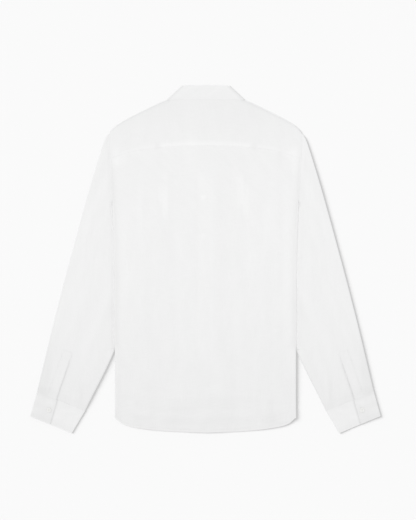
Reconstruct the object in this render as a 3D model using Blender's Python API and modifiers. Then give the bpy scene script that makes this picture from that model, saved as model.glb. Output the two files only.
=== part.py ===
"""Linen shirt, laid out flat on its front with its back up.

+X is to the right as seen from above, +Y runs from the hem to the collar and +Z is up.
The cloth lies in layers on the plane z = 0. The sides of the body are turned under and
the upper part of each sleeve lies beneath them. Each piece is a grid that follows its
layer, given a wall by Solidify. Sizes are in metres, written in millimetres times MM.
"""
import math
from collections import namedtuple

import bmesh
import bpy

MM = 0.001

# Cloth: one wall, the gap between two layers, and the rise from one layer to the next.
WALL = 1.0 * MM
GAP = 0.3 * MM
STEP = WALL + GAP
TURN_STEPS = 4
# The back lies this much looser on the fronts.
LOOSE = 0.3 * MM

# Body. Half widths are to the outside of the turned edge; heights are along Y.
HALF = 200.9 * MM
MARGIN = 59.0 * MM
UNDERARM = (142.0 * MM, 43.0 * MM)
BODY_ROWS = 13
ARMHOLE_ROWS = 3
FRONT_TOP_ROWS = 3
ARMHOLE_FOOT = 124.0 * MM
SEAM_TUCK = 6.0 * MM
FRONT_CLEAR = 2.5 * MM
FRONT_HEM_RISE = 4.0 * MM

Side = namedtuple("Side", "y half_width")
BODY_SIDE = (
    Side(-400.0 * MM, 200.9 * MM),
    Side(-196.5 * MM, 200.9 * MM),
    Side(-172.0 * MM, 202.3 * MM),
    Side(-7.0 * MM, 202.5 * MM),
    Side(124.0 * MM, 206.7 * MM),
    Side(221.0 * MM, 212.0 * MM),
    Side(261.0 * MM, 215.2 * MM),
    Side(283.0 * MM, 213.0 * MM),
)

# Hem, by the distance along the cloth from the centre, so it goes on into the margin.
Hem = namedtuple("Hem", "out y")
HEM = (
    Hem(0.0, -386.3 * MM),
    Hem(83.0 * MM, -383.0 * MM),
    Hem(150.0 * MM, -375.5 * MM),
    Hem(184.0 * MM, -366.0 * MM),
    Hem(200.9 * MM, -350.5 * MM),
    Hem(230.0 * MM, -323.0 * MM),
    Hem(262.0 * MM, -305.0 * MM),
)

YokeSeam = namedtuple("YokeSeam", "out y")
YOKE_SEAM = (
    YokeSeam(0.0, 257.5 * MM),
    YokeSeam(50.0 * MM, 256.8 * MM),
    YokeSeam(97.0 * MM, 253.0 * MM),
    YokeSeam(145.0 * MM, 246.5 * MM),
    YokeSeam(180.0 * MM, 236.0 * MM),
    YokeSeam(207.0 * MM, 228.0 * MM),
)

# Shoulder, from the neck to the top of the armhole, and the seam on the front side.
NECK_POINT = 81.0 * MM
SHOULDER_SLOPE = math.radians(27.0)
YOKE_ROWS = 5
YOKE_FRONT_ROWS = 2
Shoulder = namedtuple("Shoulder", "out y")
SHOULDER = (
    Shoulder(81.0 * MM, 355.4 * MM),
    Shoulder(90.0 * MM, 352.4 * MM),
    Shoulder(105.5 * MM, 346.0 * MM),
    Shoulder(143.2 * MM, 327.8 * MM),
    Shoulder(178.7 * MM, 309.5 * MM),
    Shoulder(205.0 * MM, 292.5 * MM),
    Shoulder(213.0 * MM, 283.0 * MM),
)
FRONT_SEAM_NECK = (69.2 * MM, 338.4 * MM)
FRONT_SEAM_END = (205.5 * MM, 261.5 * MM)

# Distance of each lengthwise grid line from the centre of the back.
COLUMNS = tuple(
    out * MM
    for out in (0.0, 10.0, 19.0, 30.0, 41.0, 52.0, 63.0, 81.0, 97.0, 110.0, 123.0, 137.0,
                153.0, 169.0, 185.0, 198.45)
)
MARGIN_COLUMNS = tuple(inward * MM for inward in (0.0, 15.0, 30.0, 44.0, 57.0))

# Collar. Each point of the collar lies between its fold line and its outer edge, and
# goes round from the centre back by the shoulder to the tip on the front.
CollarLine = namedtuple("CollarLine", "around fold_x fold_y edge_x edge_y seam_share")
COLLAR = (
    CollarLine(0.0, 0.0, 386.3 * MM, 0.0, 356.0 * MM, 0.79),
    CollarLine(1.0, 51.6 * MM, 386.3 * MM, 85.5 * MM, 355.0 * MM, 0.87),
    CollarLine(2.0, 10.0 * MM, 298.0 * MM, 60.0 * MM, 260.0 * MM, 0.40),
)
STAND_END = CollarLine(3.0, -15.0 * MM, 292.0 * MM, -15.0 * MM, 270.0 * MM, 1.0)
# Stand and fall, out from the middle between the back and the front of the collar.
RISE_IN = (STEP + LOOSE) / 2
RISE_OUT = RISE_IN + STEP
COLLAR_BACK_CELLS = 6
COLLAR_LEAF_CELLS = 6
STAND_END_CELLS = 2
COLLAR_LIP = 5.0 * MM
FALL_SHARES = (0.2, 0.45, 0.7, 1.0)
STAND_SHARES = (0.0, 0.5, 1.0)

# Centre front: the band, the overlap of the two fronts, and the buttons under it.
BAND_HALF = 17.5 * MM
CENTRE_FLAT = 19.0 * MM
CENTRE_FADE = 43.0 * MM
BUTTON_RADIUS = 5.75 * MM
BUTTON_THICK = 2.0 * MM
BUTTON_LIFT = BUTTON_THICK + GAP
BUTTON_TOP_Y = 225.4 * MM
BUTTON_SPACING = 86.6 * MM
BUTTON_COUNT = 6
STAND_BUTTON_Y = 283.0 * MM

# Sleeve: its outline, and where it begins under the body.
SLEEVE_OUTER = tuple(
    (x * MM, y * MM)
    for x, y in ((208.0, 283.0), (219.5, 273.0), (228.3, 254.0), (265.6, 131.0),
                 (327.8, -99.5), (374.4, -291.9))
)
SLEEVE_INNER = tuple(
    (x * MM, y * MM) for x, y in ((136.5, 43.0), (166.0, -75.0), (197.5, -191.0), (267.5, -336.3))
)
SLEEVE_ROWS = 18
SLEEVE_CELLS = 6
# Share of its length by which the sleeve ends short of the cuff.
SLEEVE_BUTT = 0.0006

# Cuff: its four corners, and where the slit crosses its seam and its edge.
CUFF_OUTER_TOP = (374.4 * MM, -291.9 * MM)
CUFF_INNER_TOP = (267.5 * MM, -336.3 * MM)
CUFF_OUTER_END = (389.6 * MM, -346.3 * MM)
CUFF_INNER_END = (296.4 * MM, -385.3 * MM)
CUFF_LAP = 20.0 * MM
CUFF_ROWS = 3
SLIT_SHARE_TOP = 0.4165
SLIT_SHARE_END = 0.474
SLIT_TOP = (294.6 * MM, -206.2 * MM)
SLIT_FOOT = (329.7 * MM, -307.5 * MM)
STRIP_WIDTH = 22.0 * MM
STRIP_ROWS = 4
STRIP_CLEAR = 0.3 * MM
CUFF_BUTTON_RADIUS = 5.0 * MM
CUFF_BUTTON_INSET = 11.0 * MM

# How far the layers stay lifted over what lies beneath them before they sink again.
FULL_REACH = 12.0 * MM
MARGIN_REACH = 6.0 * MM
FADE = 45.0 * MM
NECK_LIFT_FROM = 195.0 * MM
NECK_LIFT_FULL = 255.0 * MM
NECK_LIFT_OUT = 92.0 * MM
NECK_LIFT_FADE = 58.0 * MM
SEAM_LIFT_FROM = 110.0 * MM
SEAM_LIFT_FULL = 140.0 * MM
SEAM_REACH = 4.0 * MM
# Heights along Y up to which each rise at the centre front is full, and how it fades.
BUTTONS_END = 238.0 * MM
BUTTONS_FADE = 45.0 * MM
OVERLAP_END = 292.0 * MM
OVERLAP_FADE = 25.0 * MM
BACK_END = 312.0 * MM
BACK_FADE = 29.0 * MM

# Largest folds of the cloth: a soft ridge from one end to the other.
Fold = namedtuple("Fold", "x0 y0 x1 y1 width height")
BACK_FOLDS = (
    Fold(-88.0 * MM, 235.0 * MM, -96.0 * MM, 20.0 * MM, 17.0 * MM, 2.0 * MM),
    Fold(84.0 * MM, 240.0 * MM, 78.0 * MM, 60.0 * MM, 16.0 * MM, 2.4 * MM),
    Fold(-45.0 * MM, 90.0 * MM, -30.0 * MM, -210.0 * MM, 20.0 * MM, 1.5 * MM),
    Fold(118.0 * MM, -20.0 * MM, 96.0 * MM, -260.0 * MM, 22.0 * MM, 1.6 * MM),
    Fold(-128.0 * MM, -120.0 * MM, -110.0 * MM, -340.0 * MM, 20.0 * MM, 1.5 * MM),
    Fold(40.0 * MM, -190.0 * MM, 52.0 * MM, -370.0 * MM, 18.0 * MM, 1.4 * MM),
)
SLEEVE_FOLDS = (
    Fold(244.0 * MM, 160.0 * MM, 262.0 * MM, -20.0 * MM, 13.0 * MM, 1.6 * MM),
    Fold(262.0 * MM, -60.0 * MM, 300.0 * MM, -190.0 * MM, 14.0 * MM, 1.4 * MM),
    Fold(236.0 * MM, -140.0 * MM, 268.0 * MM, -250.0 * MM, 11.0 * MM, 1.2 * MM),
    Fold(270.0 * MM, -262.0 * MM, 281.0 * MM, -345.0 * MM, 6.5 * MM, 1.6 * MM),
)
FOLD_EDGE = 25.0 * MM
BACK_CALM = 6.0 * MM
SLEEVE_CALM = 4.0 * MM
SLEEVE_EDGE = 14.0 * MM

LINEN = (0.86, 0.855, 0.83)
BUTTON = (0.82, 0.80, 0.75)


# Small helpers.

def clamp(share):
    return max(0.0, min(1.0, share))


def ease(share):
    share = clamp(share)
    return share * share * (3.0 - 2.0 * share)


def mix(a, b, share):
    return a + (b - a) * share


def mix2(a, b, share):
    return (mix(a[0], b[0], share), mix(a[1], b[1], share))


def read(rows, at):
    """Second column of a table at a value of its first column, on a smooth curve."""
    k = 0
    while k < len(rows) - 2 and at > rows[k + 1][0]:
        k += 1
    x0, y0 = rows[k]
    x1, y1 = rows[k + 1]
    before = rows[max(k - 1, 0)]
    after = rows[min(k + 2, len(rows) - 1)]
    span = x1 - x0
    t = clamp((at - x0) / span)
    slope0 = (y1 - before[1]) / (x1 - before[0]) * span
    slope1 = (after[1] - y0) / (after[0] - x0) * span
    a = 2 * t ** 3 - 3 * t ** 2 + 1
    b = t ** 3 - 2 * t ** 2 + t
    c = t ** 3 - t ** 2
    return a * y0 + b * slope0 + (1 - a) * y1 + c * slope1


def route(points):
    """Function from 0..1 to a place on the smooth curve through the points."""
    lengths = [0.0]
    for a, b in zip(points, points[1:]):
        lengths.append(lengths[-1] + math.dist(a, b))
    xs = [(length, p[0]) for length, p in zip(lengths, points)]
    ys = [(length, p[1]) for length, p in zip(lengths, points)]
    return lambda share: (read(xs, share * lengths[-1]), read(ys, share * lengths[-1]))


def above(point, a, b):
    """Distance of a point to the left of the line from a to b."""
    dx, dy = b[0] - a[0], b[1] - a[1]
    return (dx * (point[1] - a[1]) - dy * (point[0] - a[0])) / math.hypot(dx, dy)


def turn(z_from, z_to):
    """Half circle of a turned edge: (distance in from the outline, height) pairs."""
    radius = abs(z_from - z_to) / 2
    centre = radius + WALL / 2
    middle = (z_from + z_to) / 2
    pairs = []
    for k in range(TURN_STEPS + 1):
        angle = math.pi * k / TURN_STEPS
        pairs.append((centre - radius * math.sin(angle),
                      middle + (z_from - middle) * math.cos(angle)))
    return pairs


# How high each layer lies.

def layer(number):
    """Height of the middle of a wall that has this many layers under it."""
    return WALL / 2 + number * STEP


def faded(distance, full, fade):
    return 1.0 - ease((distance - full) / fade)


def sleeve_lift(x, y):
    """Rise over the two layers of sleeve under the body, 1 where it is full."""
    point = (abs(x), y)
    foot = (read(BODY_SIDE, ARMHOLE_FOOT), ARMHOLE_FOOT)
    over = above(point, SLEEVE_INNER[0], foot)
    beside = above(point, SLEEVE_INNER[2], SLEEVE_INNER[0])
    return faded(max(over, beside), FULL_REACH, FADE)


def margin_lift(x, y):
    """Rise over the turned-under margins, 1 where it is full."""
    point = (abs(x), y)
    foot = (read(BODY_SIDE, ARMHOLE_FOOT), ARMHOLE_FOOT)
    over = above(point, UNDERARM, foot)
    return faded(max(over, UNDERARM[0] - abs(x)), MARGIN_REACH, FADE)


def neck_lift(x, y):
    """Rise over the leaves of the collar under the fronts."""
    up = ease((y - NECK_LIFT_FROM) / (NECK_LIFT_FULL - NECK_LIFT_FROM))
    return up * faded(abs(x), NECK_LIFT_OUT, NECK_LIFT_FADE)


def centre_lift(x):
    """Share of the rise over the placket and its buttons."""
    return faded(abs(x), CENTRE_FLAT, CENTRE_FADE)


def button_lift(y):
    return BUTTON_LIFT * faded(y, BUTTONS_END, BUTTONS_FADE)


def shared_lift(x, y):
    return STEP * (2 * sleeve_lift(x, y) + 2 * margin_lift(x, y) + neck_lift(x, y))


def front_height(x, y, overlap):
    """Middle of a front panel that has `overlap` layers of the placket under it."""
    placket = button_lift(y) + overlap * STEP * faded(y, OVERLAP_END, OVERLAP_FADE)
    return layer(0) + shared_lift(x, y) + centre_lift(x) * placket


def back_height(x, y):
    """Middle of the back or the yoke, without its folds."""
    placket = (BUTTON_LIFT + 2 * STEP) * faded(y, BACK_END, BACK_FADE)
    reach = read(BODY_SIDE, y) - SEAM_TUCK - abs(x)
    up = ease((y - SEAM_LIFT_FROM) / (SEAM_LIFT_FULL - SEAM_LIFT_FROM))
    seam = STEP * faded(reach, SEAM_REACH, FADE) * up
    return layer(1) + LOOSE + max(shared_lift(x, y), seam) + centre_lift(x) * placket


def ridges(x, y, folds):
    """Height of the soft folds at one place."""
    total = 0.0
    for fold in folds:
        start, end = (fold.x0, fold.y0), (fold.x1, fold.y1)
        length = math.dist(start, end)
        away = above((x, y), start, end)
        dot = (x - fold.x0) * (fold.x1 - fold.x0) + (y - fold.y0) * (fold.y1 - fold.y0)
        share = clamp(dot / length ** 2)
        total += fold.height * math.exp(-(away / fold.width) ** 2) * math.sin(math.pi * share)
    return total


def back_relief(x, y):
    edge = ease((read(BODY_SIDE, y) - abs(x) - BACK_CALM) / FOLD_EDGE)
    return edge * ridges(x, y, BACK_FOLDS)


# Making meshes.

def material(name, colour, roughness):
    made = bpy.data.materials.new(name)
    made.use_nodes = True
    shader = made.node_tree.nodes["Principled BSDF"]
    shader.inputs["Base Color"].default_value = (*colour, 1.0)
    shader.inputs["Roughness"].default_value = roughness
    shader.inputs["Metallic"].default_value = 0.0
    return made


def add_object(name, bm, collection, colour, roughness):
    mesh = bpy.data.meshes.new(name)
    bm.to_mesh(mesh)
    bm.free()
    made = bpy.data.objects.new(name, mesh)
    collection.objects.link(made)
    mesh.materials.append(material(name, colour, roughness))
    return made


def sheet(name, rows, collection, keep=None):
    """Cloth through rows of points; keep(i, j) says which cells of the grid stay."""
    across = len(rows[0]) - 1
    bm = bmesh.new()
    bmesh.ops.create_grid(bm, x_segments=across, y_segments=len(rows) - 1, size=1.0)
    points = [point for row in rows for point in row]
    for vert, point in zip(bm.verts, points):
        vert.co = point
    if keep:
        cut = [face for k, face in enumerate(bm.faces) if not keep(k % across, k // across)]
        bmesh.ops.delete(bm, geom=cut, context="FACES")
    bmesh.ops.remove_doubles(bm, verts=bm.verts, dist=0.01 * MM)
    made = add_object(name, bm, collection, LINEN, 0.9)
    wall = made.modifiers.new("wall", "SOLIDIFY")
    wall.thickness = WALL
    wall.offset = 0.0
    made.data.shade_smooth()
    return made


def button(name, x, y, top, radius, collection):
    """Round button whose upper face is at the height `top`."""
    bm = bmesh.new()
    bmesh.ops.create_cone(bm, cap_ends=True, segments=20, radius1=radius, radius2=radius,
                          depth=BUTTON_THICK)
    made = add_object(name, bm, collection, BUTTON, 0.35)
    made.location = (x, y, top - BUTTON_THICK / 2)
    rim = made.modifiers.new("rim", "BEVEL")
    rim.width = 0.5 * MM
    rim.segments = 1
    rim.limit_method = "ANGLE"
    return made


# Body.

def body_place(out, share, top, inset):
    """Place of a lengthwise grid line at a share of the way from the hem up."""
    y = mix(read(HEM, abs(out)), top, share)
    x = out * (read(BODY_SIDE, y) - inset) / COLUMNS[-1]
    return x, y


def margin_points(side, share, edge, strip_layer):
    """A turned-under margin: its turn, then its strip as far as the side seam."""
    x, y, z_from = edge
    z_to = layer(strip_layer) + STEP * 2 * sleeve_lift(x, y)
    radius = (z_from - z_to) / 2
    foot = (read(BODY_SIDE, ARMHOLE_FOOT), ARMHOLE_FOOT)
    slope = (foot[1] - UNDERARM[1]) / (foot[0] - UNDERARM[0])
    points = []
    for inward, z in turn(z_from, z_to)[1:-1]:
        points.append((x + side * (radius + WALL / 2 - inward), y, z))
    for inward in MARGIN_COLUMNS:
        out = abs(x) - inward
        seam_y = mix(read(HEM, HALF + inward), read(YOKE_SEAM, HALF), share)
        cut_y = UNDERARM[1] + slope * (out - UNDERARM[0])
        at = min(mix(y, seam_y, ease(inward / MARGIN)), cut_y)
        z = layer(strip_layer) + STEP * 2 * sleeve_lift(out, at)
        points.append((side * out, at, z))
    return points


def row_shares():
    """Shares of the height from the hem to the yoke seam, and the row of the armhole."""
    foot = (ARMHOLE_FOOT - read(HEM, HALF)) / (read(YOKE_SEAM, HALF) - read(HEM, HALF))
    low = [foot * k / BODY_ROWS for k in range(BODY_ROWS)]
    high = [mix(foot, 1.0, k / ARMHOLE_ROWS) for k in range(ARMHOLE_ROWS + 1)]
    return low + high


def back_body(collection):
    """The back below the yoke, from side seam to side seam."""
    outs = [-out for out in reversed(COLUMNS[1:])] + list(COLUMNS)
    rows = []
    turn_inset = (layer(1) + LOOSE + 2 * STEP - layer(0)) / 2 + WALL / 2
    for number, share in enumerate(row_shares()):
        inset = turn_inset if number <= BODY_ROWS else 0.0
        main = []
        for out in outs:
            top = read(YOKE_SEAM, abs(out)) - GAP / 2
            x, y = body_place(out, share, top, inset)
            main.append((x, y, back_height(x, y) + back_relief(x, y)))
        left = margin_points(-1, share, main[0], 0)
        right = margin_points(1, share, main[-1], 0)
        rows.append(left[::-1] + main + right)
    wing = len(left)
    last = wing + len(outs) - 1

    def keep(i, j):
        return wing <= i < last or j < BODY_ROWS

    return sheet("back_body", rows, collection, keep)


def neckline():
    """Seam of the stand on the front side, from the shoulder to the centre front."""
    points = []
    for k in range(COLLAR_LEAF_CELLS * 2 + 1):
        line = collar_line(1.0 + k / (COLLAR_LEAF_CELLS * 2))
        points.append(mix2(line[0], line[1], line[2]))
    points.append((0.0, STAND_END.edge_y + 1.5 * MM))
    points.append((-BAND_HALF * 2, STAND_END.edge_y))
    return [point for point in reversed(points)]


def front_top(out):
    """Upper edge of a front panel: the neckline, then the shoulder seam."""
    if out > FRONT_SEAM_NECK[0]:
        share = (out - FRONT_SEAM_NECK[0]) / (FRONT_SEAM_END[0] - FRONT_SEAM_NECK[0])
        return mix(FRONT_SEAM_NECK[1], FRONT_SEAM_END[1], share) - GAP / 2
    return read(neckline(), out) - 2 * GAP


def front_panel(name, side, overlap, collection):
    """One front, from its side seam to just past the centre."""
    inner = [-out for out in reversed(COLUMNS) if 0.0 < out <= BAND_HALF]
    outs = inner + list(COLUMNS)
    outs[0] = -BAND_HALF
    nest = (layer(1) + LOOSE + 2 * STEP - layer(0)) / 2 + WALL / 2
    shares = row_shares()
    rows = []
    for number in range(len(shares) + FRONT_TOP_ROWS):
        main = []
        for out in outs:
            seam = read(YOKE_SEAM, abs(out)) - GAP / 2
            if number <= BODY_ROWS:
                inset = nest
            else:
                inset = SEAM_TUCK + FRONT_CLEAR
            if number < len(shares):
                hem_rise = FRONT_HEM_RISE * (1.0 - shares[number])
                x, y = body_place(out, shares[number], seam, inset)
                y += hem_rise
            else:
                share = (number + 1 - len(shares)) / FRONT_TOP_ROWS
                scaled = out * (read(BODY_SIDE, seam) - inset) / COLUMNS[-1]
                top_x = out * FRONT_SEAM_END[0] / COLUMNS[-1]
                top_y = front_top(top_x)
                x, y = mix2((scaled, seam), (top_x, top_y), share)
            main.append((side * x, y, front_height(side * x, y, overlap)))
        wing = margin_points(side, shares[min(number, len(shares) - 1)], main[-1], 1)
        rows.append((main + wing)[::side])
    first, last = (0, len(outs) - 1) if side > 0 else (len(wing), len(wing) + len(outs) - 1)

    def keep(i, j):
        return first <= i < last or j < BODY_ROWS

    return sheet(name, rows, collection, keep)


def front_placket(collection):
    """Band down the centre of the outer front, on the buttons."""
    shares = row_shares()
    rows = []
    for number in range(len(shares) + FRONT_TOP_ROWS):
        row = []
        for x in (-BAND_HALF, -BAND_HALF / 2, 0.0, BAND_HALF / 2, BAND_HALF):
            seam = read(YOKE_SEAM, 0.0)
            if number < len(shares):
                y = mix(HEM[0].y + FRONT_HEM_RISE, seam, shares[number])
            else:
                share = (number + 1 - len(shares)) / FRONT_TOP_ROWS
                y = mix(seam, STAND_END.edge_y - 1.5 * MM, share)
            row.append((x, y, front_height(x, y, 0)))
        rows.append(row)
    return sheet("front_placket", rows, collection)


# Yoke.

def yoke(collection):
    """The yoke, from the back seam over the shoulder folds to the front seams."""
    outs = [-out for out in reversed(COLUMNS[1:])] + list(COLUMNS)
    normal = (math.sin(SHOULDER_SLOPE), math.cos(SHOULDER_SLOPE))
    reach = COLUMNS[-2]
    columns = []
    for out in outs:
        side = -1 if out < 0 else 1
        away = abs(out)
        seam_y = read(YOKE_SEAM, away) + GAP / 2
        seam = (away * read(BODY_SIDE, seam_y) / COLUMNS[-1], seam_y)
        if away < NECK_POINT:
            line = collar_line(away / NECK_POINT)
            top = mix2(line[0], line[1], line[2])
            top = (top[0], top[1] - 2 * GAP)
        else:
            top_x = mix(NECK_POINT, SHOULDER[-1].out, (away - NECK_POINT) / (COLUMNS[-1] - NECK_POINT))
            top = (top_x, read(SHOULDER, top_x) - 0.4 * MM)
        z_back = back_height(*top)
        z_front = front_height(*top, 0)
        arc = turn(z_back, z_front)
        fold = (top[0] - normal[0] * arc[0][0], top[1] - normal[1] * arc[0][0])
        if away < NECK_POINT:
            fold = top
        column = []
        for k in range(YOKE_ROWS + 1):
            x, y = mix2(seam, fold, k / YOKE_ROWS)
            column.append((side * x, y, back_height(x, y) + back_relief(x, y)))
        for inward, z in arc[1:]:
            x = top[0] - normal[0] * inward
            y = top[1] - normal[1] * inward
            column.append((side * x, y, z))
        share = clamp((away - NECK_POINT) / (reach - NECK_POINT))
        front_seam = mix2(FRONT_SEAM_NECK, FRONT_SEAM_END, share)
        front_fold = column[-1]
        for k in range(1, YOKE_FRONT_ROWS + 1):
            x, y = mix2((abs(front_fold[0]), front_fold[1]), (front_seam[0], front_seam[1] + GAP / 2),
                        k / YOKE_FRONT_ROWS)
            column.append((side * x, y, front_height(x, y, 0)))
        columns.append(column)
    rows = [list(row) for row in zip(*columns)]
    middle = len(COLUMNS) - 1
    first = COLUMNS.index(NECK_POINT)

    def keep(i, j):
        away = i - middle if i >= middle else middle - 1 - i
        return j < YOKE_ROWS or first <= away < len(COLUMNS) - 2

    return sheet("yoke", rows, collection, keep)


# Collar.

def collar_line(around):
    """Fold point, edge point and share of the neck seam at a place round the collar."""
    row = min(int(around), len(COLLAR) - 2)
    a, b = COLLAR[row], COLLAR[row + 1]
    share = around - a.around
    fold = mix2((a.fold_x, a.fold_y), (b.fold_x, b.fold_y), share)
    edge = mix2((a.edge_x, a.edge_y), (b.edge_x, b.edge_y), share)
    return fold, edge, mix(a.seam_share, b.seam_share, share)


def collar_stations():
    """(around, angle, side) of each line of the collar, from the left tip to the right.

    The angle turns from 0 on the back to a half turn on the front.
    """
    half = [(k / COLLAR_BACK_CELLS, 0.0) for k in range(COLLAR_BACK_CELLS + 1)]
    half += [(1.0, math.pi * k / TURN_STEPS) for k in range(1, TURN_STEPS)]
    half += [(1.0 + k / COLLAR_LEAF_CELLS, math.pi) for k in range(COLLAR_LEAF_CELLS + 1)]
    left = [(around, angle, -1) for around, angle in reversed(half[1:])]
    return left + [(around, angle, 1) for around, angle in half]


def collar_point(station, distance, rise):
    """Place at a distance in from the fold line, `rise` layers out from the middle."""
    around, angle, side = station
    fold, edge, _ = collar_line(around)
    length = math.dist(fold, edge)
    x, y = mix2(fold, edge, distance / length)
    middle = layer(0) + RISE_OUT
    turned = COLLAR[1]
    slant = (turned.fold_x - turned.edge_x, turned.fold_y - turned.edge_y)
    size = math.hypot(*slant)
    normal = (slant[1] / size, -slant[0] / size)
    inset = RISE_OUT + WALL / 2
    hold = ease(4.0 * around - 3.0) if around < 1.0 else 1.0 - ease(around - 1.0)
    sideways = rise * math.sin(angle) - inset * hold
    x += normal[0] * sideways
    y += normal[1] * sideways
    return side * x, y, middle + rise * math.cos(angle)


def front_extra(x, y, side):
    overlap = 1 if side < 0 else 2
    return front_height(x, y, overlap) - layer(0) - shared_lift(x, y)


def collar_fall(collection):
    """The fall: a lip inside, the fold along the top, then the fall and both leaves."""
    rows = [[] for _ in range(2 + TURN_STEPS + len(FALL_SHARES))]
    for station in collar_stations():
        fold, edge, _ = collar_line(station[0])
        length = math.dist(fold, edge)
        raised = 0.0
        if station[1] == math.pi:
            lip = mix2(fold, edge, COLLAR_LIP / length)
            raised = front_extra(lip[0] * station[2], lip[1], station[2])
        inner = RISE_IN - raised
        arc = turn(inner, RISE_OUT)
        section = [(max(COLLAR_LIP, arc[0][0] + 1.0 * MM), inner)] + arc
        for share in FALL_SHARES:
            section.append((mix(arc[-1][0], length, share), RISE_OUT))
        for row, (distance, rise) in zip(rows, section):
            row.append(collar_point(station, distance, rise))
    return sheet("collar_fall", rows, collection)


def collar_stand(collection):
    """The stand, from the neck seam up to the lip of the fall."""
    rows = [[] for _ in STAND_SHARES]
    for station in collar_stations():
        fold, edge, seam_share = collar_line(station[0])
        length = math.dist(fold, edge)
        for row, share in zip(rows, STAND_SHARES):
            start = COLLAR_LIP + 2.2 * MM
            distance = mix(start, seam_share * length, share)
            x, y, z = collar_point(station, distance, RISE_IN)
            if station[1] == math.pi:
                z += front_extra(x, y, station[2])
            row.append((x, y, z))
    for k in range(1, STAND_END_CELLS + 1):
        for row, share in zip(rows, STAND_SHARES):
            for side in (-1, 1):
                near = row[0] if side < 0 and k == 1 else row[-1]
                if k > 1:
                    near = row[1] if side < 0 else row[-2]
                far_y = mix(STAND_END.fold_y, STAND_END.edge_y, share)
                far = (side * STAND_END.fold_x, far_y)
                if k == 1:
                    x, y = mix2((near[0], near[1]), far, 0.5)
                else:
                    x, y = far
                z = front_height(x, y, 1 if side < 0 else 2)
                if side < 0:
                    row.insert(0, (x, y, z))
                else:
                    row.append((x, y, z))
    return sheet("collar_stand", rows, collection)


# Sleeves and cuffs.

def armhole_route():
    points = [SLEEVE_OUTER[0]]
    for y in (261.0 * MM, 221.0 * MM, 172.0 * MM, ARMHOLE_FOOT + 4.0 * MM):
        points.append((read(BODY_SIDE, y) - SEAM_TUCK, y))
    points.append((170.0 * MM, 84.0 * MM))
    points.append(SLEEVE_INNER[0])
    return route(points)


def sleeve_patch():
    """Function from (across, down) to a place on the sleeve, by its four edges."""
    armhole = armhole_route()
    outer, inner = route(SLEEVE_OUTER), route(SLEEVE_INNER)

    def place(across, down):
        cuff = mix2(SLEEVE_OUTER[-1], SLEEVE_INNER[-1], across)
        sides = mix2(outer(down), inner(down), across)
        ends = mix2(armhole(across), cuff, down)
        corners = mix2(mix2(SLEEVE_OUTER[0], SLEEVE_INNER[0], across), cuff, down)
        return sides[0] + ends[0] - corners[0], sides[1] + ends[1] - corners[1]

    return place


def sleeve_relief(x, y):
    """Folds of a sleeve where it shows beside the body."""
    clear = abs(x) - read(BODY_SIDE, y) - SLEEVE_CALM
    if y < SLEEVE_INNER[2][1]:
        clear = FOLD_EDGE
    return ease(clear / FOLD_EDGE) * ridges(abs(x), y, SLEEVE_FOLDS)


def flat_ring(width, low, high):
    """Closed section of a flattened tube: (share across, height, share of the folds)."""
    ring = []
    edge = turn(high, low)
    for k in range(SLEEVE_CELLS + 1):
        ring.append((mix(edge[0][0], width - edge[0][0], k / SLEEVE_CELLS) / width, high, 1.0))
    for inward, z in edge[1:-1]:
        ring.append((1.0 - inward / width, z, 0.0))
    for k in range(SLEEVE_CELLS + 1):
        ring.append((mix(width - edge[0][0], edge[0][0], k / SLEEVE_CELLS) / width, low, 0.0))
    for inward, z in reversed(edge[1:-1]):
        ring.append((inward / width, z, 0.0))
    ring.append(ring[0])
    return ring


def sleeve(name, side, collection):
    place = sleeve_patch()
    rows = []
    for number in range(SLEEVE_ROWS + 1):
        down = number / SLEEVE_ROWS
        if number == SLEEVE_ROWS:
            down -= SLEEVE_BUTT
        width = math.dist(place(0.0, down), place(1.0, down))
        row = []
        for across, z, folded in flat_ring(width, layer(0), layer(1)):
            x, y = place(across, down)
            edge = ease(min(across, 1.0 - across) * width / SLEEVE_EDGE)
            row.append((side * x, y, z + folded * edge * sleeve_relief(x, y)))
        rows.append(row)
    return sheet(name, rows, collection)


def cuff_place(across, down):
    top = mix2(CUFF_OUTER_TOP, CUFF_INNER_TOP, across)
    end = mix2(CUFF_OUTER_END, CUFF_INNER_END, across)
    return mix2(top, end, down)


def cuff(name, side, collection):
    """One strip round the wrist, its outer end lapped over its inner end at the slit."""
    rows = []
    height = math.dist(CUFF_OUTER_TOP, CUFF_OUTER_END)
    for number in range(CUFF_ROWS + 1):
        down = mix(GAP / height, 1.0, number / CUFF_ROWS)
        width = math.dist(cuff_place(0.0, down), cuff_place(1.0, down))
        slit = mix(SLIT_SHARE_TOP, SLIT_SHARE_END, down)
        inner = turn(layer(1), layer(0))
        outer = turn(layer(0), layer(2))
        start = slit - CUFF_LAP / width
        section = [(mix(start, 1.0 - inner[0][0] / width, k / 6), layer(1)) for k in range(7)]
        section += [(1.0 - inward / width, z) for inward, z in inner[1:]]
        section += [(mix(1.0 - inner[0][0] / width, outer[0][0] / width, k / 6), layer(0))
                    for k in range(1, 7)]
        section += [(inward / width, z) for inward, z in outer[1:]]
        section += [(mix(outer[0][0] / width, slit, k / 3), layer(2)) for k in range(1, 4)]
        row = []
        for across, z in section:
            x, y = cuff_place(across, down)
            row.append((side * x, y, z))
        rows.append(row)
    return sheet(name, rows, collection)


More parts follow.
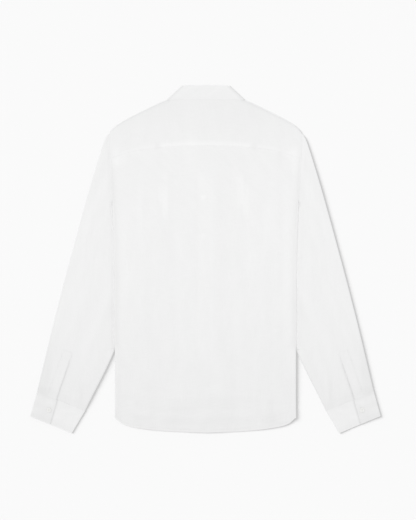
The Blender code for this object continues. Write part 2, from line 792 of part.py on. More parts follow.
def sleeve_strip(name, side, collection):
    """Placket strip on the outer side of the sleeve's slit, down to the cuff."""
    length = math.dist(SLIT_TOP, SLIT_FOOT)
    direction = ((SLIT_FOOT[0] - SLIT_TOP[0]) / length, (SLIT_FOOT[1] - SLIT_TOP[1]) / length)
    outward = (-direction[1], direction[0])
    seam = (CUFF_OUTER_TOP, CUFF_INNER_TOP)
    rows = []
    for k in range(STRIP_ROWS + 1):
        row = []
        for j in range(4):
            off = STRIP_WIDTH * j / 3
            start = (SLIT_TOP[0] + outward[0] * off, SLIT_TOP[1] + outward[1] * off)
            rise = above(start, seam[1], seam[0])
            slope = (above((start[0] + direction[0], start[1] + direction[1]), seam[1], seam[0])
                     - rise)
            reach = -(rise - 2 * GAP) / slope
            x = start[0] + direction[0] * reach * k / STRIP_ROWS
            y = start[1] + direction[1] * reach * k / STRIP_ROWS
            row.append((side * x, y, layer(2) + STRIP_CLEAR + sleeve_relief(x, y)))
        rows.append(row)
    return sheet(name, rows, collection)


def buttons(collection):
    for number in range(BUTTON_COUNT):
        y = BUTTON_TOP_Y - number * BUTTON_SPACING
        under = min(front_height(0.0, y + dy, 0) for dy in (-BUTTON_RADIUS, 0.0, BUTTON_RADIUS))
        button("front_button_%d" % (number + 1), 0.0, y, under - WALL / 2 - GAP, BUTTON_RADIUS,
               collection)
    under = front_height(0.0, STAND_BUTTON_Y, 1) - WALL / 2 - GAP
    button("stand_button", 0.0, STAND_BUTTON_Y, under, BUTTON_RADIUS, collection)
    for name, side in (("left", -1), ("right", 1)):
        across = SLIT_SHARE_TOP * 0.5 + SLIT_SHARE_END * 0.5
        across -= CUFF_BUTTON_INSET / math.dist(CUFF_OUTER_TOP, CUFF_INNER_TOP)
        x, y = cuff_place(across, 0.5)
        top = layer(2) + WALL / 2 + GAP + BUTTON_THICK
        button("cuff_button_" + name, side * x, y, top, CUFF_BUTTON_RADIUS, collection)


def main():
    for old in list(bpy.data.objects):
        bpy.data.objects.remove(old, do_unlink=True)
    collection = bpy.data.collections.new("linen_shirt")
    bpy.context.scene.collection.children.link(collection)
    back_body(collection)
    yoke(collection)
    front_panel("front_left", -1, 1, collection)
    front_panel("front_right", 1, 2, collection)
    front_placket(collection)
    collar_fall(collection)
    collar_stand(collection)
    for name, side in (("left", -1), ("right", 1)):
        sleeve("sleeve_" + name, side, collection)
        cuff("cuff_" + name, side, collection)
        sleeve_strip("sleeve_placket_" + name, side, collection)
    buttons(collection)


main()
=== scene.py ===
import math
from collections import namedtuple

import bmesh
import bpy
import numpy as np
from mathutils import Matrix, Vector


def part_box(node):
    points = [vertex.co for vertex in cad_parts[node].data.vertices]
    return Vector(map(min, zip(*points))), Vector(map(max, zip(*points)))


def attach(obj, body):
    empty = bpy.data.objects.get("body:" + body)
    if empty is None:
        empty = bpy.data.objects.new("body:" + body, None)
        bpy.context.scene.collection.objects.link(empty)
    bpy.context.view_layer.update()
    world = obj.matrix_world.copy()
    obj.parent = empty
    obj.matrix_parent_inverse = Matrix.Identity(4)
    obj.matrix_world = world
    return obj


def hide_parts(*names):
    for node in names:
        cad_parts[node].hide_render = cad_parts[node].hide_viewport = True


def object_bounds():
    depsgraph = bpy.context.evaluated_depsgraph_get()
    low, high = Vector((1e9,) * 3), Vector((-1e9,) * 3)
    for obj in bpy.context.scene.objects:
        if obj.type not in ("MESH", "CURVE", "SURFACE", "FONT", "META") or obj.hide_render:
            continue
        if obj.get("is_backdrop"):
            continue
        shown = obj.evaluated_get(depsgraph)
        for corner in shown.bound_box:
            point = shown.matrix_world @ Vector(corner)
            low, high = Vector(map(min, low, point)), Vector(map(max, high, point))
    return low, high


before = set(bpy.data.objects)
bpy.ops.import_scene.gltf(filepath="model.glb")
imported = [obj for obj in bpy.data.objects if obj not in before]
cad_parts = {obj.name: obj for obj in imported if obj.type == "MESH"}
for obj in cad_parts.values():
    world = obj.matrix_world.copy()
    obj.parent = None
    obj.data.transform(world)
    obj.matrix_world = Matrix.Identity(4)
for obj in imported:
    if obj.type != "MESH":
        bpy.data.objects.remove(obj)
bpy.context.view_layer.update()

MM = 0.001


def corners():
    low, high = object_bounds()
    return [list(low), list(high)]


# Cloth. A layer rises by STEP over the one beneath; the collar and cuffs are doubled.
WALL = 0.4 * MM
STEP = 0.65 * MM
LOOSE = 0.3 * MM
FRONT_REST = 0.25 * MM
CELL = 4.0 * MM
TURN_STEPS = 8
STITCH_PITCH = 3.2 * MM
STITCH_LIFT = 0.28 * MM
STITCH_WIDE = 0.2 * MM
STITCH_HIGH = 0.13 * MM
STITCH_DIP = 0.12 * MM
STITCH_PARTS = (0.13, 0.3, 0.7, 0.87)
HOLE_PITCH = 1.3 * MM
THREAD_GAP = 0.55 * MM
FIRM_WALL = 0.6 * MM
FIRM_STEP = 0.78 * MM

# Body.
HALF = 200.9 * MM
OUT_END = 198.45 * MM
MARGIN = 59.0 * MM
MARGIN_END = 57.0 * MM
UNDERARM = (142.0 * MM, 43.0 * MM)
ARMHOLE_FOOT = 124.0 * MM
SEAM_TUCK = 6.0 * MM
FRONT_CLEAR = 2.5 * MM
FRONT_HEM_RISE = 4.0 * MM
HEM_LIFT = 0.65 * MM
EDGE_ROLL = 2.4 * MM
EDGE_ROLL_IN = 16.0 * MM


def table(name, columns, *rows):
    """Short table of sizes in millimetres with named columns."""
    kind = namedtuple(name, columns)
    return tuple(kind(*(value * MM for value in row)) for row in rows)


BODY_SIDE = table("Side", "y half_width",
                  (-400.0, 200.9), (-196.5, 200.9), (-172.0, 202.3), (-7.0, 202.5),
                  (124.0, 206.7), (221.0, 212.0), (261.0, 215.2), (283.0, 213.0))
HEM = table("Hem", "out y",
            (0.0, -384.1), (83.0, -380.9), (150.0, -373.4), (184.0, -364.4),
            (200.9, -349.6), (230.0, -323.0), (262.0, -305.0))
# The folded hem's rows, from its inner edge round to the outside.
HEM_SECTION = table("HemRow", "up depth",
                    (7.0, 0.5), (3.6, 0.5), (0.25, 0.5), (0.07, 0.43), (0.0, 0.25),
                    (0.07, 0.07), (0.25, 0.0))
HEM_ROWS = len(HEM_SECTION) - 1
HEM_CUT_BACK = 2
YOKE_SEAM = table("YokeSeam", "out y",
                  (0.0, 257.5), (50.0, 256.8), (97.0, 253.0), (145.0, 246.5), (180.0, 236.0),
                  (207.0, 228.0))
SHOULDER = table("Shoulder", "out y",
                 (81.0, 355.4), (90.0, 352.4), (105.5, 346.0), (143.2, 327.8),
                 (178.7, 309.5), (205.0, 292.5), (213.0, 283.0))
NECK_POINT = 81.0 * MM
SHOULDER_SLOPE = math.radians(27.0)
FRONT_SEAM_NECK = (69.2 * MM, 338.4 * MM)
FRONT_SEAM_END = (205.5 * MM, 261.5 * MM)
FRONT_YOKE_OUT = 185.0 * MM
YOKE_LAP = 7.0 * MM
YOKE_LAP_RISE = 0.2 * MM
NECK_TUCK = 0.6 * MM
SHOULDER_TUCK = 0.4 * MM
# Stitches keep to rows of a piece's grid.
ARMHOLE_STITCH_ROWS = 40
HEM_STITCH_ROW = 9.2
# The two sides, and how many layers of placket each front lies over.
SIDES = (("left", -1), ("right", 1))
OVERLAP = {-1: 1, 1: 2}

# Collar: fold line, outer edge and share of the neck seam, round from the centre back.
CollarLine = namedtuple("CollarLine", "around fold_x fold_y edge_x edge_y seam_share")
COLLAR = (
    CollarLine(0.0, 0.0, 386.3 * MM, 0.0, 356.0 * MM, 0.79),
    CollarLine(1.0, 51.6 * MM, 386.3 * MM, 85.5 * MM, 355.0 * MM, 0.87),
    CollarLine(2.0, 10.0 * MM, 298.0 * MM, 60.0 * MM, 260.0 * MM, 0.40),
)
STAND_END = CollarLine(3.0, -15.0 * MM, 292.0 * MM, -15.0 * MM, 270.0 * MM, 1.0)
RISE_IN = (FIRM_STEP + LOOSE) / 2
RISE_OUT = RISE_IN + FIRM_STEP
LEAF_LEVEL = 0.4 * MM
COLLAR_LIP = 5.0 * MM
COLLAR_DROOP = 0.35 * MM

# Centre front.
BAND_HALF = 17.5 * MM
CENTRE_FLAT = 19.0 * MM
CENTRE_FADE = 43.0 * MM
BUTTON_LIFT = 2.05 * MM
HOLE_REACH = 7.5 * MM
NECK_RISE = 1.3
# Where the buttons show through the back as paler spots: this far below y for each one.
BUTTON_SPOT_X = -4.0 * MM
BUTTON_SPOT_Y = 225.4 * MM
BUTTON_GAP = 86.6 * MM

# Sleeve and cuff.
SLEEVE_OUTER = table("Point", "x y",
                     (208.0, 285.0), (218.9, 273.2), (227.3, 253.6), (264.3, 130.6),
                     (326.4, -99.8), (373.3, -292.4))
SLEEVE_INNER = table("Point", "x y",
                     (136.5, 43.0), (166.0, -75.0), (197.5, -191.0), (267.5, -336.3))
PUFF_NEAR = 3.0 * MM
PUFF_FAR = 4.3 * MM
HEAD_GAP = 0.5 * MM
SLEEVE_COLUMNS = 55
SLEEVE_ROWS = 150
SLEEVE_REACH = 1.004
RIM_SHADE = 0.03
GROOVE_LIGHT = 0.05
CUFF_OUTER_TOP, CUFF_INNER_TOP, CUFF_OUTER_END, CUFF_INNER_END = table(
    "Point", "x y", (373.3, -292.4), (267.5, -336.3), (388.5, -346.8), (296.4, -385.3))
CUFF_LEVELS = (0.4 * MM, 2.45 * MM, 3.4 * MM)
CUFF_BOW = 1.2 * MM
CUFF_BOW_IN = 32.0 * MM
CUFF_LAP = 20.0 * MM
SLIT_SHARE_TOP = 0.4165
SLIT_SHARE_END = 0.474
SLIT_TOP, SLIT_FOOT = table("Point", "x y", (294.6, -206.2), (329.7, -307.5))
STRIP_WIDTH = 22.0 * MM
SLIT_RISE = 0.5 * MM
SLIT_SHADE = 0.06
CUFF_SLIT_SHADE = 0.08

# Buttons and their thread.
FRONT_BUTTON = 5.75 * MM
CUFF_BUTTON = 5.0 * MM
BUTTON_THICK = 2.0 * MM
STAND_BUTTON_THICK = 1.4 * MM
SHANK = 0.45 * MM
STRAND = 0.19 * MM
BAR_BOW = 0.05 * MM
INTO_CLOTH = 0.5 * MM
HOLE_PLAY = 0.05 * MM
DISH_HEIGHT = 0.76
# The rounds of a button from its back to its dish: parts of its radius and of its thickness.
Round = namedtuple("Round", "part height")
BUTTON_PROFILE = [Round(*row) for row in (
    (0.93, 0.0), (0.985, 0.12), (1.0, 0.35), (1.0, 0.65), (0.985, 0.85), (0.93, 0.97),
    (0.84, 1.0), (0.74, 0.93), (0.62, DISH_HEIGHT))]

# Creases: a soft ridge, or a trough where the height is negative, from one end to the other
# with a sideways bend. Right-hand ones differ from left-hand ones.
CREASE = "Crease", "x0 y0 x1 y1 bend width height"
BACK_CREASES = table(
    *CREASE,
    (-88, 238, -97, 15, 6, 15, 1.5),
    (-70, 190, -78, 60, -4, 9, 0.5),
    (84, 242, 78, 55, -5, 14, 1.7),
    (66, 200, 62, 120, 3, 7, 0.5),
    (98, 150, 104, -30, 5, 10, 0.5),
    (-45, 95, -30, -215, 10, 18, 0.9),
    (-140, 170, -150, -60, -6, 12, 0.8),
    (-152, -40, -138, -250, 8, 14, 0.6),
    (118, -10, 96, -265, -9, 20, 0.9),
    (150, 190, 166, -20, 7, 11, 0.8),
    (172, -60, 160, -240, -5, 10, 0.5),
    (-128, -110, -110, -345, 7, 17, 0.9),
    (40, -180, 52, -372, -6, 16, 0.9),
    (-14, -240, -22, -360, 3, 10, 0.5),
    (12, 150, 22, -60, 4, 14, 0.35),
    (-176, -140, -166, -330, -4, 9, 0.5),
    (140, -250, 132, -360, 4, 11, 0.6),
    (-60, -300, -84, -372, 3, 9, 0.5),
    (-118, -352, -60, -338, -3, 5, 0.45),
    (-30, -330, 24, -322, 4, 4.5, 0.4),
    (66, -348, 120, -340, -4, 5, 0.45),
    (90, -300, 148, -309, 3, 5, 0.35),
    (-168, -322, -120, -312, 3, 5, 0.35),
    (-20, -362, 42, -358, 2, 4, 0.35),
    (-196, 96, -168, 60, 3, 8, 0.7),
    (197, 90, 172, 48, -3, 8, 0.7),
    (-190, 190, -150, 150, 5, 9, 0.5),
    (190, 200, 158, 150, -4, 9, 0.6),
    (-110, 232, -60, 205, 5, 8, 0.4),
    (110, 240, 60, 212, -4, 8, 0.4),
)
YOKE_CREASES = table(
    *CREASE,
    (-150, 262, -120, 300, 4, 8, 0.5),
    (-60, 262, -46, 322, -3, 10, 0.35),
    (30, 264, 44, 330, 4, 11, 0.3),
    (146, 262, 128, 304, -4, 9, 0.45),
    (-186, 250, -172, 282, 2, 6, 0.5),
    (188, 248, 176, 284, -2, 6, 0.5),
)
LEFT_SLEEVE_CREASES = table(
    *CREASE,
    (244, 165, 262, -20, 5, 12, 1.2),
    (232, 90, 240, -60, -4, 8, 0.6),
    (262, -55, 300, -192, -6, 13, 1.1),
    (236, -135, 268, -252, 5, 10, 0.9),
    (300, -60, 330, -180, 5, 9, 0.6),
    (270, -258, 281, -332, 2, 5.5, 1.4),
    (283, -270, 294, -334, -2, 4, 0.7),
    (340, -200, 352, -280, 3, 7, 0.6),
    (218, 30, 262, 4, 6, 9, 0.6),
    (226, -92, 288, -72, -6, 8, 0.6),
    (250, -168, 312, -150, 5, 8, 0.45),
    (232, 240, 224, 160, 3, 8, 0.6),
    (312, -250, 318, -300, 2, 5, 0.5),
    (354, -246, 366, -300, -2, 5, 0.5),
)
RIGHT_SLEEVE_CREASES = table(
    *CREASE,
    (240, 190, 258, 10, -5, 12, 1.1),
    (224, 60, 236, -90, 4, 8, 0.6),
    (268, -30, 296, -170, 6, 12, 1.1),
    (240, -150, 272, -262, -5, 11, 0.9),
    (306, -90, 332, -214, -4, 9, 0.6),
    (269, -254, 280, -334, -2, 5.5, 1.4),
    (286, -262, 297, -330, 2, 4, 0.6),
    (344, -214, 358, -290, -3, 7, 0.6),
    (224, 4, 276, -12, -6, 9, 0.6),
    (232, -110, 300, -96, 5, 8, 0.6),
    (262, -196, 306, -186, -4, 8, 0.4),
    (236, 232, 230, 140, -3, 8, 0.5),
    (316, -246, 321, -300, -2, 5, 0.5),
)
FRONT_CREASES = table(
    *CREASE,
    (-120, 200, -112, -40, 7, 16, 0.9),
    (-70, 60, -84, -220, -8, 15, 0.8),
    (-150, -80, -132, -300, 6, 14, 0.7),
    (-52, -240, -60, -370, 3, 10, 0.6),
    (-60, 210, -140, 170, 6, 11, 0.6),
    (104, 170, 112, -70, -7, 15, 0.9),
    (66, 30, 78, -210, 6, 16, 0.8),
    (140, -60, 124, -290, -7, 13, 0.7),
    (54, -230, 62, -360, -3, 10, 0.6),
    (58, 200, 136, 150, -6, 11, 0.6),
    (150, 90, 170, -40, 5, 10, 0.5),
    (-160, 110, -172, -10, -5, 10, 0.5),
)


# Light, as shares of full white on level ground.
WORLD = 0.88
SOFT = 0.09
KEY = 1.55
GLOW = 0.4035


# Small helpers. They take single numbers or arrays.

def ease(share):
    """0 to 1 with soft ends."""
    share = np.clip(share, 0.0, 1.0)
    return share * share * (3.0 - 2.0 * share)


def mix(a, b, share):
    return a + (b - a) * share


def between(a, b, share):
    """Place on the straight way from a to b."""
    return mix(a[0], b[0], share), mix(a[1], b[1], share)


def risen(value, start, reach):
    """0 up to a start, then softly up to 1."""
    return ease((value - start) / reach)


def faded(distance, full, fade):
    """1 up to a distance, then softly down to 0."""
    return 1.0 - risen(distance, full, fade)


def read(rows, at):
    """Second column of a table at values of its first column, on a smooth curve."""
    xs = np.array([row[0] for row in rows])
    ys = np.array([row[1] for row in rows])
    at = np.asarray(at, dtype=float)
    k = np.clip(np.searchsorted(xs, at) - 1, 0, len(xs) - 2)
    before, after = np.maximum(k - 1, 0), np.minimum(k + 2, len(xs) - 1)
    gap = xs[k + 1] - xs[k]
    t = np.clip((at - xs[k]) / gap, 0.0, 1.0)
    slope0 = (ys[k + 1] - ys[before]) / (xs[k + 1] - xs[before]) * gap
    slope1 = (ys[after] - ys[k]) / (xs[after] - xs[k]) * gap
    a = 2 * t ** 3 - 3 * t ** 2 + 1
    return (a * ys[k] + (t ** 3 - 2 * t ** 2 + t) * slope0 + (1 - a) * ys[k + 1]
            + (t ** 3 - t ** 2) * slope1)


def route(points):
    """Function from 0..1 to a place on the smooth curve through the points."""
    lengths = [0.0]
    for a, b in zip(points, points[1:]):
        lengths.append(lengths[-1] + math.dist(a, b))
    xs = [(length, p[0]) for length, p in zip(lengths, points)]
    ys = [(length, p[1]) for length, p in zip(lengths, points)]
    return lambda share: (read(xs, share * lengths[-1]), read(ys, share * lengths[-1]))


def above(x, y, a, b):
    """Distance of a point to the left of the line from a to b."""
    dx, dy = b[0] - a[0], b[1] - a[1]
    return (dx * (y - a[1]) - dy * (x - a[0])) / math.hypot(dx, dy)


def turn(z_from, z_to, wall=WALL):
    """Half circle of a turned edge: (distance in from the outline, height) pairs."""
    radius = np.abs(z_from - z_to) / 2
    middle = (z_from + z_to) / 2
    angles = [math.pi * k / TURN_STEPS for k in range(TURN_STEPS + 1)]
    return [(radius + wall / 2 - radius * math.sin(angle),
             middle + (z_from - middle) * math.cos(angle)) for angle in angles]


def spaced(start, end, size=CELL):
    return np.linspace(start, end, max(1, round(abs(end - start) / size)) + 1)


def creased(x, y, rows):
    """Height of the creases at one place."""
    total = np.zeros(np.broadcast(x, y).shape)
    for row in rows:
        length = math.hypot(row.x1 - row.x0, row.y1 - row.y0)
        ux, uy = (row.x1 - row.x0) / length, (row.y1 - row.y0) / length
        along = ((x - row.x0) * ux + (y - row.y0) * uy) / length
        away = above(x, y, row[:2], row[2:4]) - row.bend * 4 * along * (1 - along)
        ends = ease(along / 0.3) * ease((1 - along) / 0.35)
        total += row.height * np.exp(-(away / row.width) ** 2) * ends
    return total


def ripple(x, y, seed, size, height, stretch=2.5):
    """Small uneven waves, longer along Y."""
    chance = np.random.default_rng(seed)
    total = np.zeros(np.broadcast(x, y).shape)
    for _ in range(9):
        kx = chance.normal() / size
        ky = chance.normal() / (size * stretch)
        total += np.sin(kx * x + ky * y + chance.uniform(0, 2 * math.pi))
    return height * total / 3.0


# How high each layer lies.

def layer(number):
    """Middle of a layer of cloth that lies on this many others."""
    return WALL / 2 + number * STEP


def grid_of(x, y, z):
    return np.stack([x, y, z], axis=-1)


def from_edge(x, y):
    """Distance in from the body's side edge."""
    return read(BODY_SIDE, y) - np.abs(x)


def foot():
    """Where the armhole meets the body's side edge."""
    return float(read(BODY_SIDE, ARMHOLE_FOOT)), ARMHOLE_FOOT


def sleeve_lift(x, y):
    """1 where a sleeve lies under the body, and softly less beyond its two edges."""
    over = above(np.abs(x), y, SLEEVE_INNER[0], foot())
    beside = above(np.abs(x), y, SLEEVE_INNER[2], SLEEVE_INNER[0])
    return faded(np.maximum(over, beside), 12 * MM, 60 * MM)


def margin_lift(x, y):
    """1 over the turned-under margins, and softly less beyond their edges."""
    over = above(np.abs(x), y, UNDERARM, foot())
    return faded(np.maximum(over, UNDERARM[0] - np.abs(x)), 6 * MM, 60 * MM)


def neck_lift(x, y):
    """1 near the collar, whose leaves lie under the fronts."""
    return risen(y, 195 * MM, 60 * MM) * faded(np.abs(x), 92 * MM, 58 * MM)


def centre_lift(x):
    """1 over the placket and its buttons."""
    return faded(np.abs(x), CENTRE_FLAT, CENTRE_FADE)


def button_lift(y):
    """How much the row of buttons raises the placket, from the lowest to the highest."""
    return BUTTON_LIFT * faded(y, 238 * MM, 45 * MM) * risen(y, -290 * MM, 50 * MM)


def shared_lift(x, y):
    """How much what lies under the fronts raises them and the back alike."""
    return STEP * (2 * sleeve_lift(x, y) + 2 * margin_lift(x, y) + NECK_RISE * neck_lift(x, y))


def front_relief(x, y):
    """Creases and waves of the fronts, which also raise the back over them."""
    calm = faded(np.abs(x), 150 * MM, 40 * MM)
    wave = ripple(x, y, 5, 16 * MM, 0.12 * MM)
    return calm * (creased(x, y, FRONT_CREASES) + 0.15 * MM + wave)


def front_height(x, y, overlap):
    """Middle of a front that lies over this many others at the placket."""
    placket = button_lift(y) + overlap * STEP * faded(y, 292 * MM, 25 * MM)
    low = layer(0) + FRONT_REST + shared_lift(x, y) + centre_lift(x) * placket
    return low + front_relief(x, y) * (1 - centre_lift(x))


def back_height(x, y):
    """Middle of the back over both fronts, without its own creases."""
    placket = button_lift(y) + 2 * STEP * faded(y, 312 * MM, 29 * MM)
    inward = read(BODY_SIDE, y) - SEAM_TUCK - np.abs(x)
    seam = STEP * faded(inward, 4 * MM, 45 * MM) * risen(y, 110 * MM, 30 * MM)
    low = layer(1) + FRONT_REST + LOOSE + np.maximum(shared_lift(x, y), seam)
    return low + centre_lift(x) * placket + front_relief(x, y) * (1 - centre_lift(x))


def edge_roll(y):
    """How much higher the turned sides stand where no sleeve comes out from under them."""
    return EDGE_ROLL * faded(y, -205 * MM, 26 * MM)


def side_inset(y):
    """Half the height of the back's turned side, and half a wall."""
    return (3 * STEP + FRONT_REST + LOOSE + edge_roll(y)) / 2 + WALL / 2


def back_relief(x, y):
    """Creases of the back, calm at its edges, and the roll of its turned sides."""
    inward = from_edge(x, y)
    calm = risen(inward, 4 * MM, 25 * MM)
    roll = edge_roll(y) * faded(inward, 0.0, EDGE_ROLL_IN)
    wave = ripple(x, y, 11, 12 * MM, 0.14 * MM)
    return calm * (creased(x, y, BACK_CREASES) + wave) + roll


# Tone of the cloth: paler where more layers beneath show through, with painted shade and painted
# highlights where the photo shows it greyer or paler.

def box(value, low, high, soft):
    """1 between two values, with soft ends."""
    return ease((value - low) / soft + 0.5) * ease((high - value) / soft + 0.5)


Tone = namedtuple("Tone", "y tone")
# Painted shade: the cloth darker towards the hem, and also darker towards the collar at the top.
PAINTED_SHADE_DOWN = [Tone(y * MM, tone) for y, tone in (
    (-400, -0.064), (-367, -0.056), (-323, -0.044), (-267, -0.035), (-168, -0.022),
    (-45, -0.009), (100, -0.003), (245, -0.005), (275, -0.013), (340, -0.033))]

# Patches of painted highlights and painted shade on folds and creases, and paler where layers
# beneath show through: across, up, how soft their edges are, and how much.
Patch = namedtuple("Patch", "x0 x1 y0 y1 soft_x soft_y gain")


def patches(*rows):
    return tuple(Patch(*(value * MM for value in row[:6]), row[6]) for row in rows)


BODY_SHADE_AND_LIGHT_PATCHES = patches(
    (-17, 16, -223, 200, 5, 60, 0.009),
    (-15, -2, 120, 186, 5, 30, 0.008),
    (-96, -84, 96, 158, 5, 24, 0.026),
    (-104, -96, 128, 165, 5, 20, 0.018),
    (-94, -82, 168, 194, 6, 18, 0.010),
    (70, 84, 118, 186, 6, 22, 0.026),
    (82, 96, 96, 168, 7, 24, 0.022),
    (-152, -140, 60, 150, 6, 50, 0.014),
    (-66, -50, -20, 110, 14, 60, 0.005),
    (128, 142, 20, 120, 8, 50, 0.009),
    (170, 186, -120, 190, 9, 80, 0.009),
    (-186, -168, -80, 130, 12, 80, 0.007),
    (-206, -192, 205, 250, 9, 20, 0.020),
    (-200, -176, 212, 232, 10, 12, 0.016),
    (192, 206, 196, 252, 9, 22, 0.022),
    (180, 200, 218, 242, 10, 12, 0.016),
    (-176, -168, 190, 262, 8, 30, -0.010),
    (160, 170, 212, 246, 10, 20, -0.016),
    (102, 114, 242, 258, 6, 8, -0.014),
    (-112, -105, 246, 262, 5, 8, -0.020),
    (-80, 60, -333, -307, 18, 8, -0.014),
    (-112, -24, -339, -328, 18, 5, -0.008),
    (-90, 102, -366, -350, 24, 6, -0.013),
    (122, 170, -364, -345, 10, 7, -0.016),
    (-160, -120, -364, -347, 12, 7, -0.010),
    (138, 150, -326, -311, 5, 6, -0.014),
    (-158, -146, -327, -311, 5, 6, -0.014),
    (-176, -164, -322, -310, 5, 5, 0.008),
    (60, 180, -318, -304, 40, 8, -0.005),
    (-200, -186, -360, -255, 8, 30, -0.010),
    (186, 200, -352, -255, 8, 30, -0.007),
    (-158, -128, -346, -333, 10, 8, 0.008),
    (150, 176, -334, -322, 10, 6, 0.007),
)
# The same on both sleeves and cuffs, at positive x: painted shade along the pleats and folds, and
# painted highlights.
SLEEVE_SHADE_AND_LIGHT_PATCHES = patches(
    (336, 368, -302, -284, 12, 8, -0.016),
    (338, 352, -320, -306, 8, 8, 0.016),
    (296, 318, -332, -316, 10, 8, -0.010),
    (274, 281, -312, -268, 5, 20, -0.016),
    (283, 290, -316, -282, 5, 16, -0.010),
    (312, 338, -378, -356, 10, 10, -0.014),
    (330, 342, -255, -205, 10, 20, 0.007),
    (296, 308, -238, -212, 8, 14, -0.006),
)


def patched(x, y, rows):
    """Painted shade and light of the patches at one place."""
    total = np.zeros(np.broadcast(x, y).shape)
    for row in rows:
        total += row.gain * box(x, row.x0, row.x1, row.soft_x) * box(y, row.y0, row.y1, row.soft_y)
    return total


def side_shade(y):
    """Share of the soft shade along the body's edges where the sleeves lie beside them."""
    lower = 1.0 + 0.5 * risen(-y, -60 * MM, 240 * MM)
    return risen(y, -205 * MM, 20 * MM) * faded(y, 170 * MM, 70 * MM) * lower


def groove_light(y, away, full, fade):
    """Painted light: a paler line in the groove beside the body's edge, lifting the shade there,
    where the layers beneath also add up.
    """
    return GROOVE_LIGHT * side_shade(y) * faded(y, 112 * MM, 12 * MM) * faded(away, full, fade)


def body_tone(x, y):
    """Paler over the yoke seam and two of the front buttons; painted shade down the body and along
    its edges, painted light in the groove, and painted highlights and shade in patches.
    """
    seam = y - read(YOKE_SEAM, np.abs(x))
    strong = box(x, -101 * MM, 99 * MM, 8 * MM)
    faint = box(np.abs(x), 112 * MM, 190 * MM, 8 * MM)
    tone = read(PAINTED_SHADE_DOWN, y) + patched(x, y, BODY_SHADE_AND_LIGHT_PATCHES)
    tone = tone + (0.036 * strong + 0.018 * faint) * box(seam, -6 * MM, 4 * MM, 8 * MM)
    for number in (1, 2):
        away = np.hypot(x - BUTTON_SPOT_X, y - BUTTON_SPOT_Y + BUTTON_GAP * number)
        tone += (0.040 - 0.01 * number) * faded(away, 4.0 * MM, 3.5 * MM)
    inward = from_edge(x, y)
    tone += 0.006 * box(inward, 16 * MM, 30 * MM, 8 * MM) * box(y, -190 * MM, 110 * MM, 60 * MM)
    # Painted shade along the edges where the sleeves lie beside them.
    tone -= 0.034 * side_shade(y) * faded(inward, 2 * MM, 14 * MM)
    tone += groove_light(y, inward, 0.4 * MM, 1.4 * MM)
    tone += ripple(x, y, 3, 14 * MM, 0.003, 4.0)
    tone += ripple(x, y, 4, 10 * MM, 0.005, 0.3) * risen(-y, 240 * MM, 60 * MM)
    return tone


def sleeve_tone(x, y):
    """Painted shade low down near the outer edge and the cuff, a painted shadow beside the slit,
    painted shade beside the body with painted light in its groove, and painted highlights and
    shade in patches.
    """
    low = risen(-y, 130 * MM, 120 * MM)
    outer = above(np.abs(x), y, SLEEVE_OUTER[-2], SLEEVE_OUTER[-1])
    tone = read(PAINTED_SHADE_DOWN, y) - 0.009 * low - 0.030 * low * faded(np.abs(outer), 9 * MM, 20 * MM)
    tone = tone - 0.010 * low * faded(from_cuff(np.abs(x), y), 8 * MM, 14 * MM)
    beside = -from_slit(np.abs(x), y)
    reach = risen(-y, 212 * MM, 30 * MM) * risen(beside, -MM, MM)
    tone = tone - SLIT_SHADE * reach * faded(beside, 0.5 * MM, 4.5 * MM)
    near = np.abs(x) - read(BODY_SIDE, y)
    tone = tone - 0.014 * side_shade(y) * faded(near, 1 * MM, 18 * MM)
    tone = tone + groove_light(y, np.abs(near), 1.5 * MM, 2.5 * MM)
    tone = tone + patched(np.abs(x), y, SLEEVE_SHADE_AND_LIGHT_PATCHES)
    return tone + ripple(np.abs(x) * 1.3 + y * 0.4, y, 6, 10 * MM, 0.006, 6.0)


# Making pieces.

def hex_colour(text):
    """Linear colour of an sRGB hex colour."""
    parts = [int(text[k:k + 2], 16) / 255 for k in (0, 2, 4)]
    return [p / 12.92 if p <= 0.04045 else ((p + 0.055) / 1.055) ** 2.4 for p in parts] + [1.0]


def add_node(tree, kind, inputs=None, **settings):
    """New shader node; inputs maps a socket to a value or to the output that feeds it."""
    made = tree.nodes.new(kind)
    for name, value in settings.items():
        setattr(made, name, value)
    for socket, value in (inputs or {}).items():
        if isinstance(value, bpy.types.NodeSocket):
            tree.links.new(value, made.inputs[socket])
        else:
            made.inputs[socket].default_value = value
    return made


def new_material(name, roughness):
    made = bpy.data.materials.new(name)
    made.use_nodes = True
    shader = made.node_tree.nodes["Principled BSDF"]
    shader.inputs["Roughness"].default_value = roughness
    return made, made.node_tree, shader


def math_node(tree, operation, a, b=None):
    inputs = {0: a} if b is None else {0: a, 1: b}
    return add_node(tree, "ShaderNodeMath", inputs, operation=operation).outputs[0]


